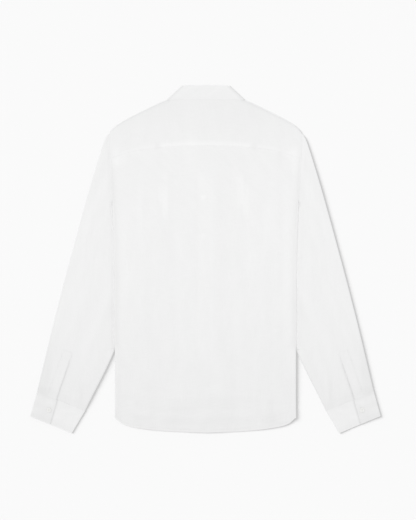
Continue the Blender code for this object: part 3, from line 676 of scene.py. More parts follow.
def linen_material(name, colour):
    """Plain weave with thick and thin threads, soft blotches and a tone from the cloth, which
    carries painted shade and painted highlights as well as paler show-through.
    """
    made, tree, shader = new_material(name, 0.92)
    uv = add_node(tree, "ShaderNodeUVMap", uv_map="cloth").outputs[0]

    def noise(x_size, y_size, detail=2.0):
        """Noise with blotches of this size across and along the cloth."""
        placed = add_node(tree, "ShaderNodeMapping",
                          {"Vector": uv, "Scale": (1 / x_size, 1 / y_size, 1.0)}).outputs[0]
        made = add_node(tree, "ShaderNodeTexNoise",
                        {"Vector": placed, "Scale": 1.0, "Detail": detail, "Roughness": 0.5})
        return made.outputs["Fac"]

    def threads(direction):
        made = add_node(tree, "ShaderNodeTexWave", {"Vector": uv, "Scale": 1 / (THREAD_GAP * 20),
                        "Distortion": 0.6, "Detail": 1.0}, bands_direction=direction)
        return made.outputs["Fac"]

    def spread(value, middle, strength):
        """The value's distance from its middle, times a strength."""
        away = math_node(tree, "SUBTRACT", value, middle)
        return math_node(tree, "MULTIPLY", away, strength)

    slubs = math_node(tree, "ADD", noise(0.6 * MM, 34 * MM), noise(26 * MM, 0.6 * MM))
    blotches = noise(22 * MM, 60 * MM, 3.0)
    weave = math_node(tree, "MULTIPLY", threads("X"), threads("Y"))
    # The tone attribute holds painted shade, painted shadow and painted highlights along with
    # paler show-through.
    tone = add_node(tree, "ShaderNodeAttribute", attribute_name="tone").outputs["Fac"]
    shade = math_node(tree, "ADD", spread(slubs, 1.0, 0.06), spread(blotches, 0.5, 0.035))
    shade = math_node(tree, "ADD", math_node(tree, "ADD", shade, tone), 1.0)
    scaled = add_node(tree, "ShaderNodeVectorMath", {0: colour[:3], 1: shade},
                      operation="MULTIPLY").outputs[0]
    tree.links.new(scaled, shader.inputs["Base Color"])
    height = math_node(tree, "ADD", math_node(tree, "MULTIPLY", weave, 0.6), slubs)
    bump = add_node(tree, "ShaderNodeBump", {"Height": height, "Strength": 0.35,
                    "Distance": 0.12 * MM}).outputs[0]
    tree.links.new(bump, shader.inputs["Normal"])
    shader.inputs["Sheen Weight"].default_value = 0.12
    shader.inputs["Sheen Roughness"].default_value = 0.6
    shader.inputs["Specular IOR Level"].default_value = 0.2
    return made


def plain_material(name, colour, roughness, specular=0.3):
    made, tree, shader = new_material(name, roughness)
    shader.inputs["Base Color"].default_value = colour
    shader.inputs["Specular IOR Level"].default_value = specular
    return made


LINEN = linen_material("linen", hex_colour("f6f6f6"))
THREAD = plain_material("linen_thread", hex_colour("f0f0f0"), 0.8)
BUTTON = plain_material("button", hex_colour("f4f4f2"), 0.32, 0.5)


def add_piece(name, mesh, finish):
    made = bpy.data.objects.new(name, mesh)
    bpy.context.scene.collection.objects.link(made)
    mesh.materials.append(finish)
    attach(made, "root")
    return made


def lengths_along(points, axis):
    steps = np.linalg.norm(np.diff(points, axis=axis), axis=2)
    start = np.zeros_like(np.take(steps, [0], axis=axis))
    return np.cumsum(np.concatenate([start, steps], axis=axis), axis=axis)


def cloth(name, points, wall=WALL, keep=None, tone=None):
    """Shell of cloth through a grid of points; keep says which cells of the grid stay."""
    points = np.asarray(points, dtype=float)
    rows, columns = points.shape[:2]
    index = np.arange(rows * columns).reshape(rows, columns)
    faces = np.stack([index[:-1, :-1], index[:-1, 1:], index[1:, 1:], index[1:, :-1]], axis=2)
    faces = faces[keep] if keep is not None else faces.reshape(-1, 4)
    mesh = bpy.data.meshes.new(name)
    mesh.from_pydata(points.reshape(-1, 3).tolist(), [], faces.tolist())
    attribute = mesh.attributes.new("tone", "FLOAT", "POINT")
    if tone is not None:
        flat = np.broadcast_to(tone, (rows, columns)).reshape(-1)
        attribute.data.foreach_set("value", flat.astype(np.float32))
    uv = np.stack([lengths_along(points, 1), lengths_along(points, 0)], axis=2).reshape(-1, 2)
    layer_uv = mesh.uv_layers.new(name="cloth")
    corner = np.zeros(len(mesh.loops), dtype=np.int32)
    mesh.loops.foreach_get("vertex_index", corner)
    layer_uv.data.foreach_set("uv", uv[corner].reshape(-1).astype(np.float32))
    bm = bmesh.new()
    bm.from_mesh(mesh)
    bmesh.ops.remove_doubles(bm, verts=bm.verts, dist=0.01 * MM)
    loose = [vert for vert in bm.verts if not vert.link_faces]
    bmesh.ops.delete(bm, geom=loose, context="VERTS")
    bm.to_mesh(mesh)
    bm.free()
    mesh.shade_smooth()
    made = add_piece(name, mesh, LINEN)
    thick = made.modifiers.new("wall", "SOLIDIFY")
    thick.thickness = wall
    thick.offset = 0.0
    graph = bpy.context.evaluated_depsgraph_get()
    solid = bpy.data.meshes.new_from_object(made.evaluated_get(graph))
    made.modifiers.clear()
    made.data = solid
    solid.set_sharp_from_angle(angle=math.radians(50))
    return made, points


def stitched(name, points, rows, columns, up, pitch=STITCH_PITCH):
    """Stitches on a cloth's grid along a line given in rows and columns of the grid."""
    points = np.asarray(points, dtype=float)
    rows, columns = np.broadcast_arrays(np.asarray(rows, float), np.asarray(columns, float))
    i = np.clip(rows.astype(int), 0, points.shape[0] - 2)
    j = np.clip(columns.astype(int), 0, points.shape[1] - 2)
    u, v = (rows - i)[:, None], (columns - j)[:, None]
    a, b, c, d = points[i, j], points[i, j + 1], points[i + 1, j], points[i + 1, j + 1]
    at = mix(mix(a, b, v), mix(c, d, v), u)
    normal = np.cross(d - a, c - b)
    normal /= np.linalg.norm(normal, axis=1)[:, None] + 1e-12
    normal *= np.where(normal[:, 2:] * up < 0, -1.0, 1.0)
    along = np.concatenate([[0.0], np.cumsum(np.linalg.norm(np.diff(at, axis=0), axis=1))])
    count = max(2, int(along[-1] / pitch))

    def sample(values, place):
        reach = place * along[-1] / count
        return np.array([np.interp(reach, along, values[:, n]) for n in range(3)])

    vertices, faces = [], []
    for k in range(count):
        start, first, second, end = (sample(at, k + part) for part in STITCH_PARTS)
        out = sample(normal, k + 0.5)
        across = np.cross(end - start, out)
        across /= np.linalg.norm(across) + 1e-12
        lift, wide, high = STITCH_LIFT * out, STITCH_WIDE * across, STITCH_HIGH * out
        base = len(vertices)
        vertices.append(start + lift - STITCH_DIP * out)
        for spot in (first, second):
            vertices += [spot + lift + part for part in (wide, high, -wide, -high)]
        vertices.append(end + lift - STITCH_DIP * out)
        for n in range(4):
            m = (n + 1) % 4
            faces.append((base, base + 1 + m, base + 1 + n))
            faces.append((base + 1 + n, base + 1 + m, base + 5 + m, base + 5 + n))
            faces.append((base + 9, base + 5 + n, base + 5 + m))
    mesh = bpy.data.meshes.new(name)
    mesh.from_pydata([tuple(v) for v in vertices], [], faces)
    mesh.shade_smooth()
    return add_piece(name, mesh, THREAD)


# Body.

def row_shares():
    """Shares of the height from the hem to the yoke seam, and the row of the armhole."""
    hem, seam = float(read(HEM, HALF)), float(read(YOKE_SEAM, HALF))
    share = (ARMHOLE_FOOT - hem) / (seam - hem)
    near = np.array([2.0, 4.0, 5.6, 6.4, 7.2, 8.4, 10.0, 13.0]) * MM / (seam - hem)
    low = np.concatenate([[0.0], near, spaced(16 * MM / (seam - hem), share, CELL / (seam - hem))])
    high = spaced(share, 1.0, CELL / (seam - hem))
    return np.concatenate([low, high[1:]]), len(low) - 1


def body_place(outs, shares, top, high_inset):
    """Places of lengthwise lines at shares of the way from the hem up."""
    low = read(HEM, np.abs(outs))
    y = mix(low, top, shares)
    inset = mix(side_inset(y), high_inset, risen(y, ARMHOLE_FOOT, 20 * MM))
    return outs * (read(BODY_SIDE, y) - inset) / OUT_END, y


def margin_points(side, shares, edge, strip_layer):
    """A turned-under margin, one column of places after another from the edge inward."""
    x, y, z_from = edge
    z_to = layer(strip_layer) + STEP * 2 * sleeve_lift(x, y)
    radius = (z_from - z_to) / 2
    slope = (foot()[1] - UNDERARM[1]) / (foot()[0] - UNDERARM[0])
    columns = []
    for inward, z in turn(z_from, z_to)[1:-1]:
        columns.append((x + side * (radius + WALL / 2 - inward), y, z))
    for inward in spaced(0.0, MARGIN_END):
        out = np.abs(x) - inward
        seam_y = mix(read(HEM, HALF + inward), read(YOKE_SEAM, HALF), shares)
        cut_y = UNDERARM[1] + slope * (out - UNDERARM[0])
        at = np.minimum(mix(y, seam_y, ease(inward / MARGIN)), cut_y)
        z = layer(strip_layer) + STEP * 2 * sleeve_lift(out, at)
        columns.append((side * out, at, z))
    return [grid_of(*column) for column in columns]


def hem_turned(points, inner):
    """The folded hem in place of the first row; inner is the side it folds to."""
    rows = [points[0] + [0.0, row.up, inner * row.depth] for row in HEM_SECTION]
    return np.concatenate([np.stack(rows), points[1:]])


def joined(columns):
    return np.stack(columns, axis=1)


def back_body():
    shares, armhole = row_shares()
    outs = spaced(-OUT_END, OUT_END)
    s, o = shares[:, None], outs[None, :]
    x, y = body_place(o, s, read(YOKE_SEAM, np.abs(o)), 0.0)
    up = y - read(HEM, np.abs(o))
    z = back_height(x, y) + back_relief(x, y) + HEM_LIFT * faded(up, 11 * MM, 14 * MM)
    main = grid_of(x, y, z)
    left = margin_points(-1, shares, main[:, 0].T, 0)
    right = margin_points(1, shares, main[:, -1].T, 0)
    points = hem_turned(np.concatenate([joined(left[::-1]), main, joined(right)], axis=1), -1)
    keep = np.ones((len(points) - 1, points.shape[1] - 1), dtype=bool)
    # No margin above the armhole, and no hem fold on the margins and beside them.
    for way in (1, -1):
        keep[armhole + HEM_ROWS:, ::way][:, :len(left)] = False
        keep[:HEM_ROWS, ::way][:, :len(left) + HEM_CUT_BACK] = False
    tone = body_tone(points[..., 0], points[..., 1])
    return cloth("back_body_cloth", points, keep=keep, tone=tone)


def neckline():
    """Table of the fronts' neckline, from the placket out to the shoulder seam."""
    points = []
    for around in np.linspace(1.0, 2.0, 13):
        points.append(between(*collar_line(around)))
    points.append((0.0, STAND_END.edge_y + 1.5 * MM))
    points.append((-BAND_HALF * 2, STAND_END.edge_y))
    return points[::-1]


def front_top(out):
    """Upper edge of a front panel: the neckline, then the shoulder seam."""
    share = (out - FRONT_SEAM_NECK[0]) / (FRONT_SEAM_END[0] - FRONT_SEAM_NECK[0])
    shoulder = mix(FRONT_SEAM_NECK[1], FRONT_SEAM_END[1], share)
    return np.where(out > FRONT_SEAM_NECK[0], shoulder, read(neckline(), out) - NECK_TUCK)


def front_panel(name, side):
    """A front with its margin, up to the neckline and the shoulder seam."""
    shares, armhole = row_shares()
    outs = np.concatenate([spaced(-BAND_HALF, 0.0)[:-1], spaced(0.0, OUT_END)])
    s, o = shares[:, None], outs[None, :]
    seam = read(YOKE_SEAM, np.abs(o))
    x, y = body_place(o, s, seam, SEAM_TUCK + FRONT_CLEAR)
    y = y + FRONT_HEM_RISE * (1.0 - s)
    scaled = o * (read(BODY_SIDE, seam) - SEAM_TUCK - FRONT_CLEAR) / OUT_END
    top_x = o * FRONT_SEAM_END[0] / OUT_END
    rise = np.linspace(0.0, 1.0, 21)[1:, None]
    x = np.concatenate([x, mix(scaled, top_x, rise)])
    y = np.concatenate([y, mix(seam, front_top(top_x), rise)])
    main = grid_of(side * x, y, front_height(side * x, y, OVERLAP[side]))
    wing_shares = np.concatenate([shares, np.ones(len(rise))])
    wing = margin_points(side, wing_shares, main[:, -1].T, 1)
    points = hem_turned(np.concatenate([main, joined(wing)], axis=1), 1)
    keep = np.ones((len(points) - 1, points.shape[1] - 1), dtype=bool)
    keep[armhole + HEM_ROWS:, -len(wing):] = False
    keep[:HEM_ROWS, -len(wing) - HEM_CUT_BACK:] = False
    return cloth(name + "_cloth", points[:, ::side], keep=keep[:, ::side])


def front_placket():
    shares, _ = row_shares()
    x = spaced(-BAND_HALF, BAND_HALF, 2.5 * MM)[None, :]
    seam = read(YOKE_SEAM, 0.0)
    y = mix(HEM[0].y + FRONT_HEM_RISE, seam, shares)
    y = np.concatenate([y, np.linspace(seam, STAND_END.edge_y - 1.5 * MM, 5)[1:]])[:, None]
    x, y = np.broadcast_arrays(x, y)
    return cloth("front_placket_cloth", grid_of(x, y, front_height(x, y, 0)))


# Yoke.

def yoke_ends(away):
    """Where a lengthwise line starts on the lapped seam, and its top."""
    seam_y = float(read(YOKE_SEAM, away))
    seam = (away * float(read(BODY_SIDE, seam_y)) / OUT_END, seam_y - YOKE_LAP)
    if away < NECK_POINT:
        top_x, top_y = between(*collar_line(away / NECK_POINT))
        return seam, (top_x, top_y - NECK_TUCK)
    top_x = mix(NECK_POINT, SHOULDER[-1].out, (away - NECK_POINT) / (OUT_END - NECK_POINT))
    return seam, (top_x, float(read(SHOULDER, top_x)) - SHOULDER_TUCK)


def yoke():
    """Upper layer from the seam up, round the shoulder's fold and on to the front seam."""
    outs = np.concatenate([spaced(0.0, NECK_POINT), spaced(NECK_POINT, OUT_END)[1:]])
    normal = (math.sin(SHOULDER_SLOPE), math.cos(SHOULDER_SLOPE))
    columns = []
    for side, away in [(-1, a) for a in outs[:0:-1]] + [(1, a) for a in outs]:
        seam, top = yoke_ends(away)
        arc = turn(back_height(*top), front_height(*top, 0))
        start = (top[0] - normal[0] * arc[0][0], top[1] - normal[1] * arc[0][0])
        if away < NECK_POINT:
            start = top
        at = np.concatenate([[0.0, 0.012, 0.03, 0.06], np.linspace(0.1, 1.0, 24)])
        x, y = side * mix(seam[0], start[0], at), mix(seam[1], start[1], at)
        up = y - seam[1]
        lap = YOKE_LAP_RISE * faded(up, 9 * MM, 6 * MM)
        calm = ease((np.hypot(x - side * start[0], y - start[1])) / (20 * MM))
        z = back_height(x, y) + calm * (back_relief(x, y) + creased(x, y, YOKE_CREASES)) + lap
        column = list(zip(x, y, z))
        for inward, level in arc[1:]:
            column.append((side * (top[0] - normal[0] * inward), top[1] - normal[1] * inward,
                           level))
        share = np.clip((away - NECK_POINT) / (FRONT_YOKE_OUT - NECK_POINT), 0.0, 1.0)
        end = between(FRONT_SEAM_NECK, FRONT_SEAM_END, share)
        last = (abs(column[-1][0]), column[-1][1])
        for part in np.linspace(0.0, 1.0, 8)[1:]:
            x, y = between(last, end, part)
            column.append((side * x, y, float(front_height(side * x, y, 0))))
        columns.append(column)
    points = np.array(columns).transpose(1, 0, 2)
    main_rows = len(at) - 1
    middle = len(outs) - 1
    away = np.abs(np.arange(points.shape[1] - 1) + 0.5 - middle)
    first, last = np.searchsorted(outs, NECK_POINT), np.searchsorted(outs, FRONT_YOKE_OUT)
    keep = np.ones((points.shape[0] - 1, points.shape[1] - 1), dtype=bool)
    keep[main_rows:] = ((away > first) & (away < last))[None, :]
    tone = body_tone(points[..., 0], points[..., 1])
    rim = np.zeros(len(points))
    rim[main_rows - 1] = 0.6
    rim[main_rows:main_rows + 4] = 1.0
    sides = faded(NECK_POINT - np.abs(points[main_rows, :, 0]), 0.0, 6 * MM)
    tone = tone - 1.6 * RIM_SHADE * rim[:, None] * sides
    return cloth("yoke_cloth", points, keep=keep, tone=tone)


# Collar.

def collar_line(around):
    """Fold point, edge point and share of the neck seam at a place round the collar."""
    row = min(int(around), len(COLLAR) - 2)
    a, b = COLLAR[row], COLLAR[row + 1]
    share = around - a.around
    return (between(a[1:3], b[1:3], share), between(a[3:5], b[3:5], share),
            mix(a.seam_share, b.seam_share, share))


def collar_stations():
    """Places round the collar, with how far it has turned over there and the side."""
    half = [(around, 0.0) for around in np.linspace(0.0, 1.0, 22)]
    half += [(1.0, math.pi * k / TURN_STEPS) for k in range(1, TURN_STEPS)]
    half += [(around, math.pi) for around in np.linspace(1.0, 2.0, 26)]
    left = [(around, angle, -1) for around, angle in reversed(half[1:])]
    return left + [(around, angle, 1) for around, angle in half]


def collar_point(station, distance, rise):
    """Place at a distance in from the fold line, `rise` out from the collar's middle."""
    around, angle, side = station
    fold, edge, _ = collar_line(around)
    x, y = between(fold, edge, distance / math.dist(fold, edge))
    turned = COLLAR[1]
    slant = (turned.fold_x - turned.edge_x, turned.fold_y - turned.edge_y)
    normal = (slant[1] / math.hypot(*slant), -slant[0] / math.hypot(*slant))
    hold = ease(4.0 * around - 3.0) if around < 1.0 else 1.0 - ease(around - 1.0)
    sideways = rise * math.sin(angle) - (RISE_OUT + FIRM_WALL / 2) * hold
    middle = LEAF_LEVEL + RISE_OUT
    return (side * (x + normal[0] * sideways), y + normal[1] * sideways,
            middle + rise * math.cos(angle))


def front_extra(x, y, side):
    """How much a front raises the lower part of the collar, beyond what raises both."""
    return float(front_height(x, y, OVERLAP[side]) - layer(0) - shared_lift(x, y))


def collar_fall():
    columns = []
    for station in collar_stations():
        fold, edge, _ = collar_line(station[0])
        length = math.dist(fold, edge)
        raised = 0.0
        if station[1] == math.pi:
            lip_x, lip_y = between(fold, edge, COLLAR_LIP / length)
            raised = front_extra(lip_x * station[2], lip_y, station[2])
        inner = RISE_IN - raised
        arc = turn(inner, RISE_OUT, FIRM_WALL)
        section = [(max(COLLAR_LIP, arc[0][0] + MM), inner)] + arc
        reach = np.linspace(0.0, 1.0, 13)[1:]
        section += [(mix(arc[-1][0], length, share), RISE_OUT) for share in reach]
        column = [list(collar_point(station, *place)) for place in section]
        if station[1] == 0.0:
            for point, share in zip(column[-len(reach):], reach):
                point[2] -= COLLAR_DROOP * ease(share) * faded(station[0], 0.55, 0.3)
        columns.append(column)
    points = np.array(columns).transpose(1, 0, 2)
    rim = [1.0 if 0.93 < around and angle < math.pi else 0.0
           for around, angle, _ in collar_stations()]
    tone = -0.011 - 1.6 * RIM_SHADE * np.array(rim)
    return cloth("collar_fall_cloth", points, wall=FIRM_WALL, tone=tone)


def collar_stand():
    shares = np.linspace(0.0, 1.0, 6)
    columns = []
    for station in collar_stations():
        fold, edge, seam_share = collar_line(station[0])
        length = math.dist(fold, edge)
        column = []
        for share in shares:
            distance = mix(COLLAR_LIP + 1.2 * MM, seam_share * length, share)
            x, y, z = collar_point(station, distance, RISE_IN)
            if station[1] == math.pi:
                z += front_extra(x, y, station[2])
            column.append((x, y, z))
        columns.append(column)
    points = np.array(columns).transpose(1, 0, 2)
    ends = []
    far_y = mix(STAND_END.fold_y, STAND_END.edge_y, shares)
    reach = np.linspace(0.0, 1.0, 8)[None, 1:]
    for side, near in ((-1, points[:, 0]), (1, points[:, -1])):
        x = mix(near[:, :1], side * STAND_END.fold_x, reach)
        y = mix(near[:, 1:2], far_y[:, None], reach)
        ends.append(grid_of(x, y, front_height(x, y, OVERLAP[side])))
    points = np.concatenate([ends[0][:, ::-1], points, ends[1]], axis=1)
    return cloth("collar_stand_cloth", points, wall=FIRM_WALL)


# Sleeves and cuffs.

def armhole_route():
    """Way of the sleeve's upper end, under the body's edge."""
    points = [tuple(SLEEVE_OUTER[0])]
    for y in (261.0, 221.0, 172.0, 128.0):
        points.append((float(read(BODY_SIDE, y * MM)) - SEAM_TUCK, y * MM))
    return route(points + [(170.0 * MM, 84.0 * MM), tuple(SLEEVE_INNER[0])])


def sleeve_place(across, down):
    """Place on the sleeve, worked out from its four edges."""
    seam = between(CUFF_OUTER_TOP, CUFF_INNER_TOP, across)
    sides = between(route(SLEEVE_OUTER)(down), route(SLEEVE_INNER)(down), across)
    ends = between(armhole_route()(across), seam, down)
    both = between(between(SLEEVE_OUTER[0], SLEEVE_INNER[0], across), seam, down)
    return [sides[k] + ends[k] - both[k] for k in (0, 1)]


def from_cuff(x, y):
    return above(x, y, CUFF_INNER_TOP, CUFF_OUTER_TOP)


def from_slit(x, y):
    """Distance from the slit towards the outer edge."""
    return above(x, y, SLIT_TOP, SLIT_FOOT)


def cuff_bow(x, y):
    """How much higher the cuff's upper layers stand near its two folded sides."""
    outer = np.abs(above(x, y, CUFF_OUTER_TOP, CUFF_OUTER_END))
    inner = np.abs(above(x, y, CUFF_INNER_TOP, CUFF_INNER_END))
    return CUFF_BOW * faded(np.minimum(outer, inner), 0.0, CUFF_BOW_IN)


def sleeve_bottom(x, y):
    return mix(layer(0), CUFF_LEVELS[0], faded(from_cuff(x, y), 2 * MM, 12 * MM))


def sleeve_top(x, y, creases):
    """Middle of the upper layer of a sleeve, at a place given with a positive x."""
    side = read(BODY_SIDE, y)
    clear = np.where(y < -200 * MM, 40 * MM, x - side)
    seat = mix(layer(1), back_height(side, y) - HEAD_GAP, risen(y, 122 * MM, 8 * MM))
    puffed = layer(1) + mix(PUFF_NEAR, PUFF_FAR, ease(clear / (36 * MM)))
    high = mix(seat, puffed, risen(clear, -1.5 * MM, 9 * MM))
    calm = risen(clear, 4 * MM, 20 * MM) * risen(from_cuff(x, y), -4 * MM, 8 * MM)
    high = high + calm * (creased(x, y, creases) + ripple(x, y, 7, 10 * MM, 0.16 * MM))
    at_cuff = mix(CUFF_LEVELS[1], CUFF_LEVELS[2], ease(from_slit(x, y) / STRIP_WIDTH))
    at_cuff = at_cuff + cuff_bow(x, y)
    return mix(high, at_cuff, faded(from_cuff(x, y), 1 * MM, 26 * MM))


def sleeve(name, side, creases):
    """Flat tube: the upper layer, its inner fold, the under layer and its outer fold."""
    rows = []
    for down in np.linspace(0.0, SLEEVE_REACH, SLEEVE_ROWS):
        ends = [sleeve_place(across, down) for across in (0.0, 1.0)]
        width = math.dist(*ends)
        outer, inner = (turn(sleeve_top(*end, ()), sleeve_bottom(*end)) for end in ends)

        def folded(arc, start, way):
            places = [sleeve_place(start + way * inward / width, down) for inward, _ in arc]
            return [(side * px, py, z) for (px, py), (_, z) in zip(places, arc)]

        across = np.linspace(outer[0][0] / width, 1.0 - inner[0][0] / width, SLEEVE_COLUMNS)
        x, y = sleeve_place(across, down)
        edge = ease(np.minimum(across, 1.0 - across) * width / (16 * MM))
        top = mix(sleeve_top(x, y, ()), sleeve_top(x, y, creases), edge)
        upper = grid_of(side * x, y, top)
        under = grid_of(side * x, y, sleeve_bottom(x, y))[::-1]
        rows.append(np.concatenate([upper, folded(inner[1:-1], 1.0, -1), under,
                                    folded(outer[-2:0:-1], 0.0, 1), upper[:1]]))
    points = np.stack(rows)
    rim = np.zeros(points.shape[1])
    rim[[0, SLEEVE_COLUMNS - 1, -1]] = 0.4
    rim[SLEEVE_COLUMNS:SLEEVE_COLUMNS + 3] = 1.0
    rim[-4:-1] = 1.0
    tone = sleeve_tone(points[..., 0], points[..., 1]) - RIM_SHADE * rim
    return cloth(name + "_cloth", points, tone=tone)


def cuff_place(across, down):
    return between(between(CUFF_OUTER_TOP, CUFF_INNER_TOP, across),
                   between(CUFF_OUTER_END, CUFF_INNER_END, across), down)


def cuff_tone(x, y, outer_part, slit):
    """Painted shade, greyer on the outer part, along the end, just under the seam and beside the
    slit as seen from above, with a paler band on the outer part below the seam.
    """
    at_end = faded(np.abs(above(x, y, CUFF_OUTER_END, CUFF_INNER_END)), 4 * MM, 12 * MM)
    from_seam = -from_cuff(x, y)
    tone = np.where(outer_part, -0.067 - 0.016 * at_end, -0.030 - 0.008 * at_end)
    tone = tone + outer_part * 0.016 * box(from_seam, 6 * MM, 20 * MM, 10 * MM)
    tone = tone - 0.018 * outer_part * faded(from_seam, 1 * MM, 5 * MM)
    shaded = ~outer_part * faded(slit, 1.2 * MM, 4 * MM)
    tone = tone - CUFF_SLIT_SHADE * shaded
    return tone + patched(x, y, SLEEVE_SHADE_AND_LIGHT_PATCHES) + ripple(x, y, 9, 6 * MM, 0.007, 1.0)


def cuff(name, side):
    """Flat ring: the lapped part, the inner fold, the under layer, the outer fold and part."""
    rows, slits = [], []
    under, middle, over = CUFF_LEVELS
    shade_steps = np.array([0.0, 1.0, 2.2, 3.6, 5.5, 8.0]) * MM
    for down in np.linspace(0.0, 1.0, 16):
        width = math.dist(cuff_place(0.0, down), cuff_place(1.0, down))
        slit = mix(SLIT_SHARE_TOP, SLIT_SHARE_END, down)

        def bowed(level, across):
            return level + cuff_bow(*cuff_place(across, down))

        inner = turn(bowed(middle, 1.0), under, FIRM_WALL)
        outer = turn(under, bowed(over, 0.0), FIRM_WALL)
        right, left = 1.0 - inner[0][0] / width, outer[0][0] / width
        lapped = np.concatenate([np.linspace(slit - CUFF_LAP / width, slit, 6)[:-1],
                                 slit + shade_steps / width,
                                 np.linspace(slit + 12 * MM / width, right, 12)])
        section = [(across, bowed(middle, across)) for across in lapped]
        section += [(1.0 - inward / width, z) for inward, z in inner[1:]]
        section += [(across, under) for across in np.linspace(right, left, 27)[1:]]
        section += [(inward / width, z) for inward, z in outer[1:]]
        reach = np.linspace(left, slit, 13)[1:]
        section += [(across, bowed(over, across)) for across in reach]
        places = [(cuff_place(across, down), z) for across, z in section]
        rows.append([(side * x, y, z) for (x, y), z in places])
        slits.append([(across - slit) * width for across, _ in section])
    points = np.array(rows)
    outer_part = np.zeros(points.shape[:2], dtype=bool)
    outer_part[:, -len(reach) - TURN_STEPS // 2:] = True
    tone = cuff_tone(np.abs(points[..., 0]), points[..., 1], outer_part, np.array(slits))
    return cloth(name + "_cloth", points, wall=FIRM_WALL, tone=tone)


def sleeve_strip(name, side, creases):
    """Placket strip on the outer side of the slit, its foot caught in the cuff."""
    length = math.dist(SLIT_TOP, SLIT_FOOT)
    along = [(SLIT_FOOT[k] - SLIT_TOP[k]) / length for k in (0, 1)]
    outward = (-along[1], along[0])
    off = spaced(0.0, STRIP_WIDTH, 2 * MM)
    start = [SLIT_TOP[k] + outward[k] * off for k in (0, 1)]
    one_on = (SLIT_TOP[0] + along[0], SLIT_TOP[1] + along[1])
    reach = from_cuff(*start) / (from_cuff(*SLIT_TOP) - from_cuff(*one_on))
    rows = []
    for share in np.linspace(0.0, 1.0, 30):
        x, y = (start[k] + along[k] * reach * share for k in (0, 1))
        z = sleeve_top(x, y, creases) + 0.5 * MM
        z = z + SLIT_RISE * faded(off, 0.0, 9 * MM) * ease(share / 0.5)
        at_cuff = CUFF_LEVELS[2] + cuff_bow(x, y)
        z = mix(z, at_cuff, faded(from_cuff(x, y), 0.0, 7 * MM))
        rows.append(grid_of(side * x, y, z))
    points = np.stack(rows)
    return cloth(name + "_cloth", points, tone=sleeve_tone(points[..., 0], points[..., 1]))


# Buttons.

def circle(radius, count, x=0.0, y=0.0):
    turns = [2 * math.pi * k / count for k in range(count)]
    return [(x + radius * math.cos(a), y + radius * math.sin(a)) for a in turns]


def bridge(bm, a, b):
    """Faces between two rings of as many points."""
    for k in range(len(a)):
        bm.faces.new((a[k - 1], a[k], b[k], b[k - 1]))


def closed_mesh(name, bm):
    bmesh.ops.recalc_face_normals(bm, faces=bm.faces)
    mesh = bpy.data.meshes.new(name)
    bm.to_mesh(mesh)
    bm.free()
    mesh.shade_smooth()
    return mesh


def add_threads(name, bars, shanks, up, depth):
    """Thread over the face of a button and down its holes into the cloth."""
    bm = bmesh.new()
    for a, b, radius in bars:
        rings = []
        for share in np.linspace(0.0, 1.0, 9):
            rise = up * (radius + BAR_BOW * math.sin(math.pi * share))
            rings.append([bm.verts.new((mix(a[0], b[0], share), a[1] + px, a[2] + rise + pz))
                          for px, pz in circle(radius, 8)])
        for first, second in zip(rings, rings[1:]):
            bridge(bm, first, second)
    for x, y, z in shanks:
        face, foot_ring = ([bm.verts.new((x + px, y + py, level)) for px, py in circle(SHANK, 8)]
                           for level in (z, z - up * (depth + INTO_CLOTH)))
        bridge(bm, face, foot_ring)
        bm.faces.new(face)
    return add_piece(name, closed_mesh(name, bm), THREAD)


def button(name, node, radius, up, thick=BUTTON_THICK):
    """Button with a rim, a shallow dish and four holes, in place of a CAD one."""
    low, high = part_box(node)
    x, y = (low[0] + high[0]) / 2, (low[1] + high[1]) / 2
    spread = 0.24 * radius
    corners = [(sx * spread, sy * spread) for sx in (-1, 1) for sy in (-1, 1)]
    middle = low[2] + thick / 2
    bm = bmesh.new()

    def ring(points, height):
        level = middle + up * (height - 0.5) * thick
        return [bm.verts.new((x + px, y + py, level)) for px, py in points]

    rounds = [ring(circle(row.part * radius, 40), row.height) for row in BUTTON_PROFILE]
    for a, b in zip(rounds, rounds[1:]):
        bridge(bm, a, b)
    all_holes = []
    for outer, height in ((rounds[0], 0.0), (rounds[-1], DISH_HEIGHT)):
        holes = [ring(circle(SHANK + HOLE_PLAY, 12, *corner), height) for corner in corners]
        edges = []
        for loop in [outer] + holes:
            for pair in zip(loop[-1:] + loop, loop):
                edges.append(bm.edges.get(pair) or bm.edges.new(pair))
        bmesh.ops.triangle_fill(bm, edges=edges, use_beauty=True)
        all_holes.append(holes)
    for a, b in zip(*all_holes):
        bridge(bm, a, b)
    mesh = closed_mesh(name, bm)
    mesh.set_sharp_from_angle(angle=math.radians(40))
    made = add_piece(name, mesh, BUTTON)
    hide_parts(node)
    face = middle + up * (DISH_HEIGHT - 0.5) * thick
    strands = []
    for part in (-1, 1):
        for away in (-STRAND, STRAND):
            level_y = y + part * spread + away
            strands.append(((x - spread, level_y, face), (x + spread, level_y, face), STRAND))
    shanks = [(x + px, y + py, face) for px, py in corners]
    add_threads(name.replace("_face", "_thread"), strands, shanks, up, DISH_HEIGHT * thick)


# Set the pieces out.

def span(start, end):
    """Places along a row or column of a grid, half a cell apart."""
    return np.linspace(start, end, 2 * int(abs(end - start)) + 2)


def buttonholes(grid):
    """Close stitches on both sides of the slit under each front button."""
    made = []
    numbers = np.arange(len(grid))
    middle = (grid.shape[1] - 1) / 2
    for number in range(1, 7):
        low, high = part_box("front_button_%d" % number)
        centre = (low[1] + high[1]) / 2
        ends = np.interp([centre - HOLE_REACH, centre + HOLE_REACH], grid[:, 0, 1], numbers)
        for word, away in (("a", -0.25), ("b", 0.25)):
            made.append(stitched("buttonhole_%d_%s" % (number, word), grid,
                                 span(*ends), middle + away, -1, HOLE_PITCH))
    return made


